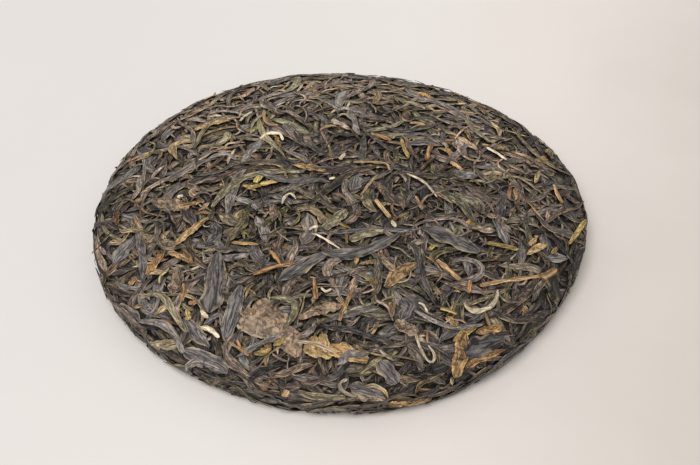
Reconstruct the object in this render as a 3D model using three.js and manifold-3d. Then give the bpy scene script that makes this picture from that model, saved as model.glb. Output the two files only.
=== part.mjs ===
// A pressed tea cake: a round of whole tea leaves steamed and pressed in a cloth bag.
// Its face is a low dome, its side is round, its foot is flat, and the knot of the bag has left a
// pit in the middle of the underside. The largest leaves, twists and stems stand out of the core.
// Millimetres, +Z up. The origin is the centre of the foot, on the surface that the cake lies on.
import * as THREE from "three";
import { mergeVertices } from "three/addons/utils/BufferGeometryUtils.js";
import Module from "manifold-3d";

// Driving dimensions of the whole cake
const CAKE_DIAMETER = 200;
const CAKE_HEIGHT = 25;
const RIM_HEIGHT = 12;
const FOOT_RADIUS = 94;
const PIT_RADIUS = 29;
const PIT_DEPTH = 12;
const PIT_LIP = 5;
const PIT_TOP_SHARE = 0.6;

// How far the leaves stand out of the core that they are pressed into, and the lowest that one
// reaches, so that the cake rests on its flat foot
const LEAF_PROUD = 1.1;
const LOWEST_LEAF = 0.4;

// The face is a superellipse: a nearly level crown that turns over at the shoulder
const CROWN_FULLNESS = 3.6;
const SHOULDER_ROUNDNESS = 1.5;

// Fineness of the core
const TURN_STEPS = 48;
const FACE_STEPS = 8;
const SIDE_STEPS = 4;
const FOOT_STEPS = 3;
const PIT_STEPS = 5;

// The uneven bumps that the smaller leaves make on the core, everywhere above its flat foot
const BUMP_HEIGHT = 0.55;
const BUMPS_ABOVE = 0.5;

// The slow waves that make the rim a little out of round, and fade towards the middle
const RIM_WAVES = [
  { lobes: 2, height: 0.25, phase: 0.7 },
  { lobes: 5, height: 0.15, phase: 2.1 },
];
const WAVE_FADE = 4;

const CORE_RADIUS = CAKE_DIAMETER / 2 - LEAF_PROUD;
const CORE_HEIGHT = CAKE_HEIGHT - LEAF_PROUD;
const GOLDEN_ANGLE = Math.PI * (3 - Math.sqrt(5));
const LEAF_SEED = 357;

// A leaf's tips: their share of the full width, how soon it tapers, and how full its middle is
const TIP_WIDTH = 0.22;
const TIP_INSET = 0.08;
const LEAF_FULLNESS = 0.8;

// Where the leaves start: the share of the face that they reach, and the band of the side, as
// shares of the rim's height. A side leaf is moved along by up to this share of its spacing.
const FACE_REACH = 0.93;
const SIDE_BAND = { low: 0.62, high: 1.37 };
const SIDE_STAGGER = 0.7;

// How far a leaf's heading strays from the way of the rim, either way
const HEADING_SPREAD = { face: Math.PI, side: 0.22 };

// The kinds of leaf that stand out: their number, size, sides, and how much they curve and twist.
// reach gives the part of the profile that each kind is spread over: the face, or the side.
const LEAF_KINDS = {
  blade: {
    reach: "face", count: 13, length: [26, 36], width: [8, 12], thickness: 1.7,
    sides: 6, steps: 5, curve: 0.5, twist: 0.15,
  },
  twist: {
    reach: "face", count: 34, length: [20, 34], width: [3, 4.6], thickness: 2.4,
    sides: 4, steps: 5, curve: 1.3, twist: 0.6,
  },
  stem: {
    reach: "face", count: 7, length: [14, 26], width: [1.9, 2.3], thickness: 2.2,
    sides: 4, steps: 3, curve: 0.3, twist: 0.2,
  },
  sideBlade: {
    reach: "side", count: 8, length: [24, 32], width: [6, 9], thickness: 1.7,
    sides: 6, steps: 5, curve: 0.3, twist: 0.15,
  },
  sideTwist: {
    reach: "side", count: 18, length: [20, 32], width: [3, 4.4], thickness: 2.3,
    sides: 4, steps: 5, curve: 0.7, twist: 0.5,
  },
};

// A repeatable stream of numbers from 0 to 1
function seededRandom(seed) {
  let state = seed;
  return () => {
    state = (state + 0x6d2b79f5) | 0;
    let mixed = Math.imul(state ^ (state >>> 15), 1 | state);
    mixed = (mixed + Math.imul(mixed ^ (mixed >>> 7), 61 | mixed)) ^ mixed;
    return ((mixed ^ (mixed >>> 14)) >>> 0) / 4294967296;
  };
}

// The half section of the core, as (radius, height), from the pit's middle round to the crown
function coreProfile() {
  const pit = new THREE.CubicBezierCurve(
    new THREE.Vector2(0, PIT_DEPTH),
    new THREE.Vector2(PIT_RADIUS * PIT_TOP_SHARE, PIT_DEPTH),
    new THREE.Vector2(PIT_RADIUS - PIT_LIP, 0),
    new THREE.Vector2(PIT_RADIUS + PIT_LIP, 0),
  );
  const lowerSide = new THREE.EllipseCurve(
    FOOT_RADIUS, RIM_HEIGHT, CORE_RADIUS - FOOT_RADIUS, RIM_HEIGHT, -Math.PI / 2, 0,
  );
  const points = pit.getPoints(PIT_STEPS);
  for (let i = 1; i <= FOOT_STEPS; i++) {
    const along = i / FOOT_STEPS;
    points.push(new THREE.Vector2(THREE.MathUtils.lerp(PIT_RADIUS + PIT_LIP, FOOT_RADIUS, along), 0));
  }
  points.push(...lowerSide.getPoints(SIDE_STEPS).slice(1));
  for (let i = 1; i <= FACE_STEPS; i++) {
    points.push(faceProfile((i / FACE_STEPS) * (Math.PI / 2)));
  }
  return points;
}

// A point of the face's half section, at an angle of 0 on the rim and a quarter turn on the axis
function faceProfile(angle) {
  const radius = CORE_RADIUS * Math.cos(angle);
  const fall = 1 - Math.pow(radius / CORE_RADIUS, CROWN_FULLNESS);
  const rise = Math.pow(Math.max(fall, 0), 1 / SHOULDER_ROUNDNESS);
  return new THREE.Vector2(radius, RIM_HEIGHT + (CORE_HEIGHT - RIM_HEIGHT) * rise);
}

const profile = coreProfile();

// The point of the smooth core nearest to a point, with the outward normal there
function nearestOnCore(point) {
  const turn = Math.atan2(point.y, point.x);
  const flat = new THREE.Vector2(Math.hypot(point.x, point.y), point.z);
  const found = { gap: Infinity, at: null, normal: null };
  for (let i = 1; i < profile.length; i++) {
    const edge = profile[i].clone().sub(profile[i - 1]);
    const along = flat.clone().sub(profile[i - 1]).dot(edge) / edge.lengthSq();
    const at = profile[i - 1].clone().addScaledVector(edge, THREE.MathUtils.clamp(along, 0, 1));
    const gap = at.distanceTo(flat);
    if (gap < found.gap) {
      found.gap = gap;
      found.at = at;
      found.normal = new THREE.Vector2(edge.y, -edge.x).normalize();
    }
  }
  const lift = (v) => new THREE.Vector3(v.x * Math.cos(turn), v.x * Math.sin(turn), v.y);
  return { at: lift(found.at), normal: lift(found.normal) };
}

// A geometry whose equal corners are one corner, as a closed surface needs
function welded(geometry) {
  const bare = geometry.clone();
  bare.deleteAttribute("normal");
  bare.deleteAttribute("uv");
  return mergeVertices(bare, 1e-4);
}

// The pressed core: the profile turned round the axis, a little out of round, with leaf-sized bumps
function coreGeometry() {
  const random = seededRandom(LEAF_SEED + 1);
  const turned = new THREE.LatheGeometry(profile, TURN_STEPS);
  turned.rotateX(Math.PI / 2);
  const core = welded(turned);
  const corners = core.attributes.position;
  const corner = new THREE.Vector3();
  for (let i = 0; i < corners.count; i++) {
    corner.fromBufferAttribute(corners, i);
    const bump = (random() - 0.5) * BUMP_HEIGHT;
    if (corner.z > BUMPS_ABOVE) {
      const { normal } = nearestOnCore(corner);
      corner.addScaledVector(normal, bump + rimWave(corner));
    }
    corners.setXYZ(i, corner.x, corner.y, corner.z);
  }
  return core;
}

// How far the slow waves move a corner of the core out or in
function rimWave(corner) {
  const turn = Math.atan2(corner.y, corner.x);
  const fade = Math.pow(Math.hypot(corner.x, corner.y) / CORE_RADIUS, WAVE_FADE);
  const waves = RIM_WAVES.map(({ lobes, height, phase }) => height * Math.sin(lobes * turn + phase));
  return fade * waves.reduce((sum, wave) => sum + wave, 0);
}

// A closed leaf that lies along the core: wide in the middle, thin at both ends, curved and twisted
function leafGeometry({ start, heading, length, width, thickness, sides, steps, curve, twist, wave }) {
  const leaf = welded(new THREE.CylinderGeometry(1, 1, 1, sides, steps));
  const stations = walkOverCore(start, heading, length, steps, curve);
  const corners = leaf.attributes.position;
  const corner = new THREE.Vector3();
  for (let i = 0; i < corners.count; i++) {
    corner.fromBufferAttribute(corners, i);
    const along = THREE.MathUtils.clamp(corner.y + 0.5, 0, 1);
    const { at, ahead, normal } = stations[Math.round(along * steps)];
    const inward = THREE.MathUtils.lerp(TIP_INSET, 1 - TIP_INSET, along);
    const taper = THREE.MathUtils.lerp(TIP_WIDTH, 1, Math.pow(Math.sin(Math.PI * inward), LEAF_FULLNESS));
    const roll = twist * Math.sin(wave + along * Math.PI * 2);
    const across = ahead.clone().cross(normal);
    const side = corner.x * taper * (width / 2);
    const rise = corner.z * taper * (thickness / 2);
    const placed = at.clone();
    placed.addScaledVector(across, side * Math.cos(roll) - rise * Math.sin(roll));
    placed.addScaledVector(normal, side * Math.sin(roll) + rise * Math.cos(roll));
    corners.setXYZ(i, placed.x, placed.y, Math.max(placed.z, LOWEST_LEAF));
  }
  return leaf;
}

// The places that a leaf passes as it is laid along the core, bending as it goes
function walkOverCore(start, heading, length, steps, curve) {
  const stride = length / steps;
  const stations = [];
  let here = nearestOnCore(start);
  const ahead = heading.clone();
  for (let i = 0; i <= steps; i++) {
    ahead.projectOnPlane(here.normal).normalize();
    stations.push({ at: here.at.clone(), ahead: ahead.clone(), normal: here.normal.clone() });
    ahead.applyAxisAngle(here.normal, (curve * stride) / length);
    here = nearestOnCore(here.at.clone().addScaledVector(ahead, stride));
  }
  return stations;
}

// Where leaf number i of a kind starts: spread evenly over the face, or along the round side
function leafStart(kind, i, random) {
  if (kind.reach === "face") {
    const radius = CORE_RADIUS * FACE_REACH * Math.sqrt((i + 0.5) / kind.count);
    const turn = i * GOLDEN_ANGLE + kind.width[0];
    return new THREE.Vector3(radius * Math.cos(turn), radius * Math.sin(turn), CORE_HEIGHT);
  }
  const turn = ((i + SIDE_STAGGER * random()) / kind.count) * Math.PI * 2;
  const height = RIM_HEIGHT * THREE.MathUtils.lerp(SIDE_BAND.low, SIDE_BAND.high, random());
  return new THREE.Vector3(CAKE_DIAMETER * Math.cos(turn), CAKE_DIAMETER * Math.sin(turn), height);
}

// Which way a leaf points: any way on the face, and nearly along the rim on the side
function leafHeading(kind, start, random) {
  const turn = Math.atan2(start.y, start.x);
  const way = turn + Math.PI / 2 + (2 * random() - 1) * HEADING_SPREAD[kind.reach];
  return new THREE.Vector3(Math.cos(way), Math.sin(way), 0);
}

function leavesOfKind(kind, random) {
  const between = ([low, high]) => THREE.MathUtils.lerp(low, high, random());
  return Array.from({ length: kind.count }, (_, i) => {
    const start = leafStart(kind, i, random);
    return leafGeometry({
      start,
      heading: leafHeading(kind, start, random),
      length: between(kind.length),
      width: between(kind.width),
      thickness: kind.thickness,
      sides: kind.sides,
      steps: kind.steps,
      curve: kind.curve * (2 * random() - 1),
      twist: kind.twist,
      wave: Math.PI * 2 * random(),
    });
  });
}

// One solid of the core and all its leaves. Its outer skin alone is kept, which fills each hollow
// that crossing leaves seal between them, and drops any loose scrap.
async function fused(core, leaves) {
  const wasm = await Module();
  wasm.setup();
  const solid = (geometry) =>
    new wasm.Manifold(
      new wasm.Mesh({
        numProp: 3,
        vertProperties: new Float32Array(geometry.attributes.position.array),
        triVerts: new Uint32Array(geometry.index.array),
      }),
    );
  const joined = leaves.reduce((whole, leaf) => whole.add(solid(leaf)), solid(core));
  const shells = joined.decompose().sort((a, b) => b.volume() - a.volume());
  const mesh = shells[0].getMesh();
  const geometry = new THREE.BufferGeometry();
  geometry.setAttribute("position", new THREE.BufferAttribute(mesh.vertProperties, 3));
  geometry.setIndex(new THREE.BufferAttribute(mesh.triVerts, 1));
  return geometry;
}

// Brings the outermost leaves to the cake's stated size, with the foot's centre at the origin
function fitToSize(geometry) {
  geometry.computeBoundingBox();
  const size = geometry.boundingBox.getSize(new THREE.Vector3());
  const middle = geometry.boundingBox.getCenter(new THREE.Vector3());
  geometry.translate(-middle.x, -middle.y, -geometry.boundingBox.min.z);
  geometry.scale(CAKE_DIAMETER / size.x, CAKE_DIAMETER / size.y, CAKE_HEIGHT / size.z);
  geometry.computeVertexNormals();
  return geometry;
}

const random = seededRandom(LEAF_SEED);
const leaves = Object.values(LEAF_KINDS).flatMap((kind) => leavesOfKind(kind, random));
const pressedLeaf = new THREE.MeshStandardMaterial({ color: 0x3a342c, roughness: 0.7, metalness: 0 });

const cake = new THREE.Mesh(fitToSize(await fused(coreGeometry(), leaves)), pressedLeaf);
cake.name = "tea_cake";

const group = new THREE.Group();
group.add(cake);

export default group;
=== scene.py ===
import math

import bmesh
import bpy
import numpy as np
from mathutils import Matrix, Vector


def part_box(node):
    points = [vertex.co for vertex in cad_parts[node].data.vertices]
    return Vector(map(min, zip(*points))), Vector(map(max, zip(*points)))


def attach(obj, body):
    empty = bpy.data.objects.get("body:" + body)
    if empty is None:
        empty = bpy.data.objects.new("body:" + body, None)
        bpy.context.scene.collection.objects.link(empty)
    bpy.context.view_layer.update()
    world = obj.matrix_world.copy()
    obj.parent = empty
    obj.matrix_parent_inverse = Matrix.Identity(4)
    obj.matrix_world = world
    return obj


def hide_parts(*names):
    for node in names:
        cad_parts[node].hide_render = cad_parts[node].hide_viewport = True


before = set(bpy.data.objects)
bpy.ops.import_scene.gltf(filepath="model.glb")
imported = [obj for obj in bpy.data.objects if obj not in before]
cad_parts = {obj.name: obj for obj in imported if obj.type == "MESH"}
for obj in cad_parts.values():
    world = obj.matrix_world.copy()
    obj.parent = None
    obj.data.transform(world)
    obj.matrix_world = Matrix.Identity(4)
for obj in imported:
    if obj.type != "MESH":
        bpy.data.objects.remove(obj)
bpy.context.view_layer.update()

MM = 0.001
random = np.random.default_rng(357)

# The cake's outer surface. Its half section is a line of points a tenth of a millimetre apart, and an
# outline number is the number of one of them, from the middle of the crown to the middle of the pit.
cake_low, cake_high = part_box("tea_cake")
CAKE_RADIUS = (cake_high[0] - cake_low[0]) / 2 / MM
CAKE_HEIGHT = cake_high[2] / MM
RIM_HEIGHT = 12.0
FOOT_RADIUS = 94.0
PIT_RADIUS, PIT_DEPTH, PIT_LIP = 29.0, 12.0, 5.0
PIT_FLOOR_SHARE = 0.6
CROWN_FULLNESS, SHOULDER_ROUNDNESS = 3.6, 1.5
ARC_POINTS, PIT_POINTS = 1500, 400
OUTLINE_STEP = 0.1
TABLE_STEP, TABLE_MARGIN = 0.5, 8.0
TINY = 1e-6


def cake_outline():
    """The half section's outer line, as radius and height, with the ways along it and out of it."""
    turn = np.linspace(0, np.pi / 2, ARC_POINTS)
    face_radius = CAKE_RADIUS * np.sin(turn) ** (2 / CROWN_FULLNESS)
    face_height = RIM_HEIGHT + (CAKE_HEIGHT - RIM_HEIGHT) * np.cos(turn) ** (2 / SHOULDER_ROUNDNESS)
    side_radius = FOOT_RADIUS + (CAKE_RADIUS - FOOT_RADIUS) * np.cos(turn)
    side_height = RIM_HEIGHT * (1 - np.sin(turn))
    face = np.stack([face_radius, face_height], 1)
    side = np.stack([side_radius, side_height], 1)
    t = np.linspace(0, 1, PIT_POINTS)[:, None]
    ends = [(PIT_RADIUS + PIT_LIP, 0), (PIT_RADIUS - PIT_LIP, 0), (PIT_RADIUS * PIT_FLOOR_SHARE, PIT_DEPTH),
            (0, PIT_DEPTH)]
    a, b, c, d = (np.array(end, float) for end in ends)
    pit = a * (1 - t) ** 3 + 3 * b * t * (1 - t) ** 2 + 3 * c * t**2 * (1 - t) + d * t**3
    line = np.concatenate([face, side[1:], pit])
    run = np.concatenate([[0], np.cumsum(np.hypot(*np.diff(line, axis=0).T))])
    at = np.arange(0, run[-1], OUTLINE_STEP)
    line = np.stack([np.interp(at, run, line[:, 0]), np.interp(at, run, line[:, 1])], 1)
    ahead = np.gradient(line, axis=0)
    ahead /= np.linalg.norm(ahead, axis=1)[:, None]
    outward = np.stack([-ahead[:, 1], ahead[:, 0]], 1)
    return line, ahead, outward


LINE, AHEAD, OUTWARD = cake_outline()


def nearest_table():
    """For each cell of the half section, the number of the nearest point of the outline."""
    radii = np.arange(0, CAKE_RADIUS + TABLE_MARGIN, TABLE_STEP)
    heights = np.arange(-TABLE_MARGIN, CAKE_HEIGHT + TABLE_MARGIN, TABLE_STEP)
    table = np.empty((len(radii), len(heights)), np.int32)
    for i, radius in enumerate(radii):
        gap = (LINE[None, :, 0] - radius) ** 2 + (LINE[None, :, 1] - heights[:, None]) ** 2
        table[i] = gap.argmin(1)
    return table


TABLE = nearest_table()


def way_past(radius, height, at):
    """How far points lie past those of the outline, measured along it."""
    return (radius - LINE[at, 0]) * AHEAD[at, 0] + (height - LINE[at, 1]) * AHEAD[at, 1]


def rest_on(points):
    """The nearest points of the cake's surface, the outward normals there, and the outline's numbers."""
    radius = np.hypot(points[..., 0], points[..., 1])
    height = points[..., 2]
    i = np.clip(np.rint(radius / TABLE_STEP), 0, TABLE.shape[0] - 1).astype(np.int32)
    j = np.clip(np.rint((height + TABLE_MARGIN) / TABLE_STEP), 0, TABLE.shape[1] - 1).astype(np.int32)
    at = TABLE[i, j]
    for _ in range(2):
        steps = np.rint(way_past(radius, height, at) / OUTLINE_STEP).astype(np.int32)
        at = np.clip(at + steps, 0, len(LINE) - 1)
    gap = np.clip(way_past(radius, height, at), -OUTLINE_STEP, OUTLINE_STEP)
    safe = np.maximum(radius, TINY)
    round_x, round_y = points[..., 0] / safe, points[..., 1] / safe
    base_radius = LINE[at, 0] + AHEAD[at, 0] * gap
    base = np.stack([round_x * base_radius, round_y * base_radius, LINE[at, 1] + AHEAD[at, 1] * gap], -1)
    normal = np.stack([round_x * OUTWARD[at, 0], round_y * OUTWARD[at, 0], OUTWARD[at, 1]], -1)
    return base, normal, at


def unit(vectors):
    return vectors / np.maximum(np.linalg.norm(vectors, axis=-1, keepdims=True), 1e-9)


# What lies where is kept in cells of half a millimetre, in rings round the axis, counted along the outline
CELL = 0.5
RING_COUNT = int(len(LINE) * OUTLINE_STEP / CELL) + 1


def outline_number(ring):
    """The outline's number at the middle of a ring of cells."""
    return np.minimum(((ring + 0.5) * CELL / OUTLINE_STEP).astype(int), len(LINE) - 1)


RING_RADIUS = LINE[outline_number(np.arange(RING_COUNT)), 0]
RING_CELLS = np.maximum(1, np.ceil(2 * np.pi * RING_RADIUS / CELL)).astype(np.int64)
RING_START = np.concatenate([[0], np.cumsum(RING_CELLS)[:-1]])


def turn_of(base):
    """How far round the axis points lie, from 0 to 1."""
    return np.arctan2(base[..., 1], base[..., 0]) / (2 * np.pi) + 0.5


def cell_at(ring, turn):
    return RING_START[ring] + np.minimum((turn * RING_CELLS[ring]).astype(np.int64), RING_CELLS[ring] - 1)


def cell_of(base, at):
    ring = np.minimum((at * OUTLINE_STEP / CELL).astype(np.int64), RING_COUNT - 1)
    return cell_at(ring, turn_of(base))


# The camera, at the photograph's view
IMAGE_WIDTH, IMAGE_HEIGHT = 700, 465
CAMERA_TILT = math.radians(42.1)
CAMERA_DISTANCE = 0.5545
CAMERA_LENS, SENSOR_WIDTH = 70.0, 36.0
AIM_SIDEWAYS, AIM_HEIGHT, AIM_DROP = 0.0037, 0.010, 0.0056
VIEW_RIGHT = Vector((1, 0, 0))
VIEW_UP = Vector((0, math.sin(CAMERA_TILT), math.cos(CAMERA_TILT)))
VIEW_BACK = Vector((0, -math.cos(CAMERA_TILT), math.sin(CAMERA_TILT)))
RAY_BEFORE, RAY_BEYOND, RAY_STEP = 120, 140, 0.2
RIM_MARGIN = 4


def photo_camera():
    data = bpy.data.cameras.new("photo_camera")
    data.lens = CAMERA_LENS
    data.sensor_width = SENSOR_WIDTH
    holder = bpy.data.objects.new("photo_camera", data)
    aim = Vector((AIM_SIDEWAYS, 0, AIM_HEIGHT)) - VIEW_UP * AIM_DROP
    holder.location = aim + VIEW_BACK * CAMERA_DISTANCE
    holder.rotation_euler = (math.pi / 2 - CAMERA_TILT, 0, 0)
    bpy.context.collection.objects.link(holder)
    return holder


camera = photo_camera()
bpy.context.scene.camera = camera


def cake_point(pixel):
    """The point of the cake's surface, in millimetres, that shows at a pixel of the photograph."""
    focal = CAMERA_LENS * IMAGE_WIDTH / SENSOR_WIDTH
    across = (pixel[0] - IMAGE_WIDTH / 2) / focal
    down = (pixel[1] - IMAGE_HEIGHT / 2) / focal
    ray = np.array((VIEW_RIGHT * across - VIEW_UP * down - VIEW_BACK).normalized())
    eye = np.array(camera.location) / MM
    distance = CAMERA_DISTANCE / MM
    points = eye + ray * np.arange(distance - RAY_BEFORE, distance + RAY_BEYOND, RAY_STEP)[:, None]
    base, normal, _ = rest_on(points)
    inside = ((points - base) * normal).sum(1) < 0
    inside &= np.hypot(points[:, 0], points[:, 1]) < CAKE_RADIUS + RIM_MARGIN
    if inside.any():
        return base[int(np.argmax(inside))]
    return base[int(np.argmin(((points - base) ** 2).sum(1)))]


# The leaves are laid from the top down: each dips under those laid before it, so none cuts through
# another, and the pressed face stays level. Depths run inwards from the cake's surface. A leaf's layer
# says when it is laid: those near 1 come first and lie on top, and those near 0 come last and lie deep.
BED_DEPTH = 3.2
SKIN = 0.3
PROUD = 0.15
FIRM_LAYER, LOOSE_DEPTH = 0.72, 1.5
LEAST_DEPTH, LEAST_DEPTH_LIMIT = 0.2, 0.6
LEAST_SEEN, LEAST_SHOWN = 0.1, 0.1
DIP_SHARE = 0.35
LOOSE_END, LOOSE_FROM = 2.4, 0.5
CREASE_ANGLE = math.radians(34)

# Stretches of the outline: where the shoulder and the foot begin, and how far the leaves go into the pit
SHOULDER_FROM = int(np.argmax(LINE[:, 0] > 0.94 * CAKE_RADIUS))
FOOT_FROM = int(np.argmax((LINE[:, 1] < 0.5) & (LINE[:, 0] > FOOT_RADIUS - 1)))
LAST = len(LINE) - 12
FACE = (0, FOOT_FROM)
TOP = (0, SHOULDER_FROM - 60)
RIM = (SHOULDER_FROM, FOOT_FROM)
UNDERSIDE = (FOOT_FROM, LAST)

# The rim is pressed harder than the faces, so leaves sink less there
RIM_SOFTNESS = 0.66
SOFTNESS = np.interp(
    np.arange(len(LINE)), [SHOULDER_FROM - 150, SHOULDER_FROM + 40, FOOT_FROM - 20, FOOT_FROM + 80],
    [1.0, RIM_SOFTNESS, RIM_SOFTNESS, 1.0]
)

# Leaves that lie near each other lean alike: each drift's size, its way over the face, pitch and start
DRIFTS = [(1.6, (1, 0), 23, 1.3), (1.5, (0, 1), 19, 0.4), (1.1, (1, -1), 31, 0.0)]
SPOT_JITTER = 5.0
STRAYS = [0.6, 1.0, 2.4]
SIDE_HEIGHTS = (1, 18)
SIDE_FROM, NEAR_SIDE_FROM, NEAR_SIDE_WIDTH, NEAR_SIDE_SHARE = 0.93, 0.8, 0.15, 0.6

# The cake isn't quite round: slow waves in its radius, by lobes, as a share of it, and where they start
OUT_OF_ROUND = [
    (0, -0.002, 0.0), (1, 0.007, 3.1), (2, 0.005, 0.0), (3, 0.0085, 1.1), (4, 0.007, 1.1), (5, 0.003, -0.3)
]


def spots_on_cake(count, first, last):
    """Points spread evenly by area over the outline's stretch from first to last."""
    area = np.concatenate([[0], np.cumsum(LINE[first:last, 0])])
    area /= area[-1]
    order = (np.arange(count) + random.uniform(0, 1, count)) / count
    at = first + np.interp(order, area, np.arange(len(area)))
    at = np.clip(at.astype(int), 0, len(LINE) - 1)
    # Each spot is a golden turn round from the one before it
    turn = np.arange(count) * math.pi * (3 - math.sqrt(5)) + random.uniform(0, 2 * math.pi)
    turn = turn + random.normal(0, SPOT_JITTER, count) / np.maximum(LINE[at, 0], 4)
    return np.stack([LINE[at, 0] * np.cos(turn), LINE[at, 0] * np.sin(turn), LINE[at, 1]], 1)


def headings_at(spots, spread_face, spread_side):
    """Ways to lie: any way on the face, in loose local drifts, and along the rim near the side."""
    count = len(spots)
    x, y, height = spots.T
    _, normal, _ = rest_on(spots)
    round_way = unit(np.stack([-y, x, np.zeros(count)], 1))
    inward = np.cross(normal, round_way)
    drift = sum(
        size * np.sin((x * way[0] + y * way[1]) / pitch + start) for size, way, pitch, start in DRIFTS
    )
    stray = random.normal(0, spread_face, count) * random.choice(STRAYS, count)
    any_way = drift + stray - np.arctan2(y, x)
    along_rim = random.normal(0, spread_side, count) + np.pi * random.integers(0, 2, count)
    radius = np.hypot(x, y)
    on_side = (radius > SIDE_FROM * CAKE_RADIUS) | ((height < SIDE_HEIGHTS[1]) & (height > SIDE_HEIGHTS[0]))
    near = np.clip((radius / CAKE_RADIUS - NEAR_SIDE_FROM) / NEAR_SIDE_WIDTH, 0, 1)
    turned = on_side | (random.uniform(0, 1, count) < near * NEAR_SIDE_SHARE)
    angle = np.where(turned, along_rim, any_way)
    return unit(round_way * np.cos(angle)[:, None] + inward * np.sin(angle)[:, None])


def waves(u, count, low, high):
    """A smooth wandering line from -1 to 1 for each leaf, with from low to high waves in its length."""
    total = np.zeros((count, len(u)))
    for _ in range(3):
        pitch = random.uniform(low, high, (count, 1))
        phase = random.uniform(0, 2 * np.pi, (count, 1))
        total += np.sin(2 * np.pi * pitch * u[None, :] + phase) / 3
    return total


def walked_path(spots, headings, lengths, bends):
    """Each leaf's middle line, walked over the cake and centred on its spot, with its side directions."""
    count, stations = bends.shape
    step = (lengths / (stations - 1))[:, None]
    point, _, _ = rest_on(spots - headings * lengths[:, None] / 2)
    way = headings
    line = np.empty((count, stations, 3))
    sides = np.empty_like(line)
    for k in range(stations):
        base, normal, _ = rest_on(point)
        way = unit(way - normal * (way * normal).sum(-1, keepdims=True))
        side = np.cross(normal, way)
        line[:, k], sides[:, k] = base, side
        turn = bends[:, k][:, None] * step
        way = way * np.cos(turn) + side * np.sin(turn)
        point = base + way * step
    return line, sides


def blur_matrix(stations, reach):
    """Weights that even out a row of stations, over this part of its length."""
    u = np.linspace(0, 1, stations)
    weights = np.exp(-((u[:, None] - u[None, :]) ** 2) / (2 * reach**2))
    return weights / weights.sum(1, keepdims=True)


def stretch_matrix(many, few):
    """Weights that read a row of few values at many even places."""
    at = np.linspace(0, few - 1, many)
    low = np.minimum(at.astype(int), few - 2)
    part = at - low
    weights = np.zeros((many, few))
    weights[np.arange(many), low] = 1 - part
    weights[np.arange(many), low + 1] += part
    return weights


# Tone over the cake: how much of it is patches, how the painted light slopes it to the back, front and
# right, how it grows with the radius from a first level, and how dark the painted shade makes the rim, from
# which share of the radius
PATCH_TONE = 0.1
BACK_PAINTED_LIGHT, FRONT_PAINTED_LIGHT, RIGHT_PAINTED_SHADE = 0.52, 0.05, 0.11
RADIUS_TONE, FIRST_TONE = 0.34, 0.22
RIM_PAINTED_SHADE, RIM_PAINTED_SHADE_FROM, RIM_PAINTED_SHADE_WIDTH = 0.6, 0.85, 0.09


def place_tone_and_painted_light(points):
    """Slow changes of tone over the cake: small patches, painted light that makes it paler at the back, and
    painted shade that makes it dark at the rim.
    """
    x, y = points[:, 0], points[:, 1]
    radius = np.hypot(x, y) / CAKE_RADIUS
    small = np.sin((x + y) / 7.5 + 2.0) * np.sin((x - y) / 13)
    patches = np.sin(x / 11 + 1.1) * np.sin(y / 9 + 0.6) + 0.7 * small
    # Painted light and shade: paler at the back and a little at the front, darker to the right, and darker
    # at the rim
    painted_light_slope = (BACK_PAINTED_LIGHT * np.maximum(y, 0) - FRONT_PAINTED_LIGHT * y - RIGHT_PAINTED_SHADE * x) / CAKE_RADIUS
    rim = RIM_PAINTED_SHADE * np.clip((radius - RIM_PAINTED_SHADE_FROM) / RIM_PAINTED_SHADE_WIDTH, 0, 1)
    return PATCH_TONE * patches + painted_light_slope + RADIUS_TONE * radius**2 - FIRST_TONE - rim


def pressed(depth, at):
    """Depths as the press leaves them: the top ones as they are, the deeper ones closer together."""
    return BED_DEPTH * SOFTNESS[at] * (1 - np.exp(-depth / BED_DEPTH))


# Painted shade: the ways and reach round a corner to look for higher leaves, how much deeper it must lie to
# darken, and how far
LOOK_WAYS, LOOK_REACH, LOOK_CLOSE = 8, 1.3, 0.6
SHADE_FROM, SHADE_DEPTH = 0.2, 1.9


def painted_shade_openness(base, at, depth, face_depth):
    """1 where a corner lies open, less where the leaves close round it stand higher; this sets the painted
    shade.
    """
    ring = at * OUTLINE_STEP / CELL
    turn = turn_of(base)
    around = 2 * np.pi * np.maximum(LINE[at, 0], 1.0)
    hidden = 0
    for step in range(LOOK_WAYS):
        way = step * np.pi / 4
        reach = LOOK_REACH * (1.0 if step % 2 else LOOK_CLOSE)
        other = np.clip(ring + reach * np.sin(way) / CELL, 0, RING_COUNT - 1).astype(np.int64)
        cell = cell_at(other, (turn + reach * np.cos(way) / around) % 1)
        hidden = hidden + np.clip(depth - face_depth[cell] - SHADE_FROM, 0, SHADE_DEPTH)
    return 1 - hidden / (LOOK_WAYS * SHADE_DEPTH)


# Forms of leaf. A crown's two powers say how its section rounds off towards its edges.
CROWNS = {"twist": (2.0, 0.55), "folded": (1.5, 0.9), "blade": (2.6, 0.55), "crumple": (2.6, 0.55)}
BROAD = ("blade", "crumple")
BROAD_LANES, NARROW_LANES = 7, 3
BROAD_EDGE, NARROW_EDGE = 0.92, 0.6
CROSS_STIFFNESS = 0.3
PAINT_STEP, PAINT_SHARE = 0.42, 0.95
UNDER_EDGE, UNDER_DEPTH, UNDER_BULGE = 0.6, 0.75, 0.12
TONE_LIMITS = (-0.4, 1)
# A leaf's ends rise and fall over these shares of its length, and how thin and how low they may be
RISE_SHARES, FALL_SHARES, LEANS = (0.18, 0.5), (0.2, 0.6), (0.6, 1.3)
LEAST_BODY, LEAST_TALL = 0.1, 0.35
TWIST_UNEVEN, OTHER_UNEVEN = 0.26, 0.18
# How many waves lie in a leaf's length: in its width, its wander, its small ridges and their swelling
BODY_WAVES, WANDER_WAVES, SMALL_WAVES, SWELL_WAVES = (0.8, 3.2), (0.5, 1.8), (0.6, 2.4), (0.8, 3.0)
EDGE_WANDER, EDGE_FALL = 0.1, 6
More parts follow.
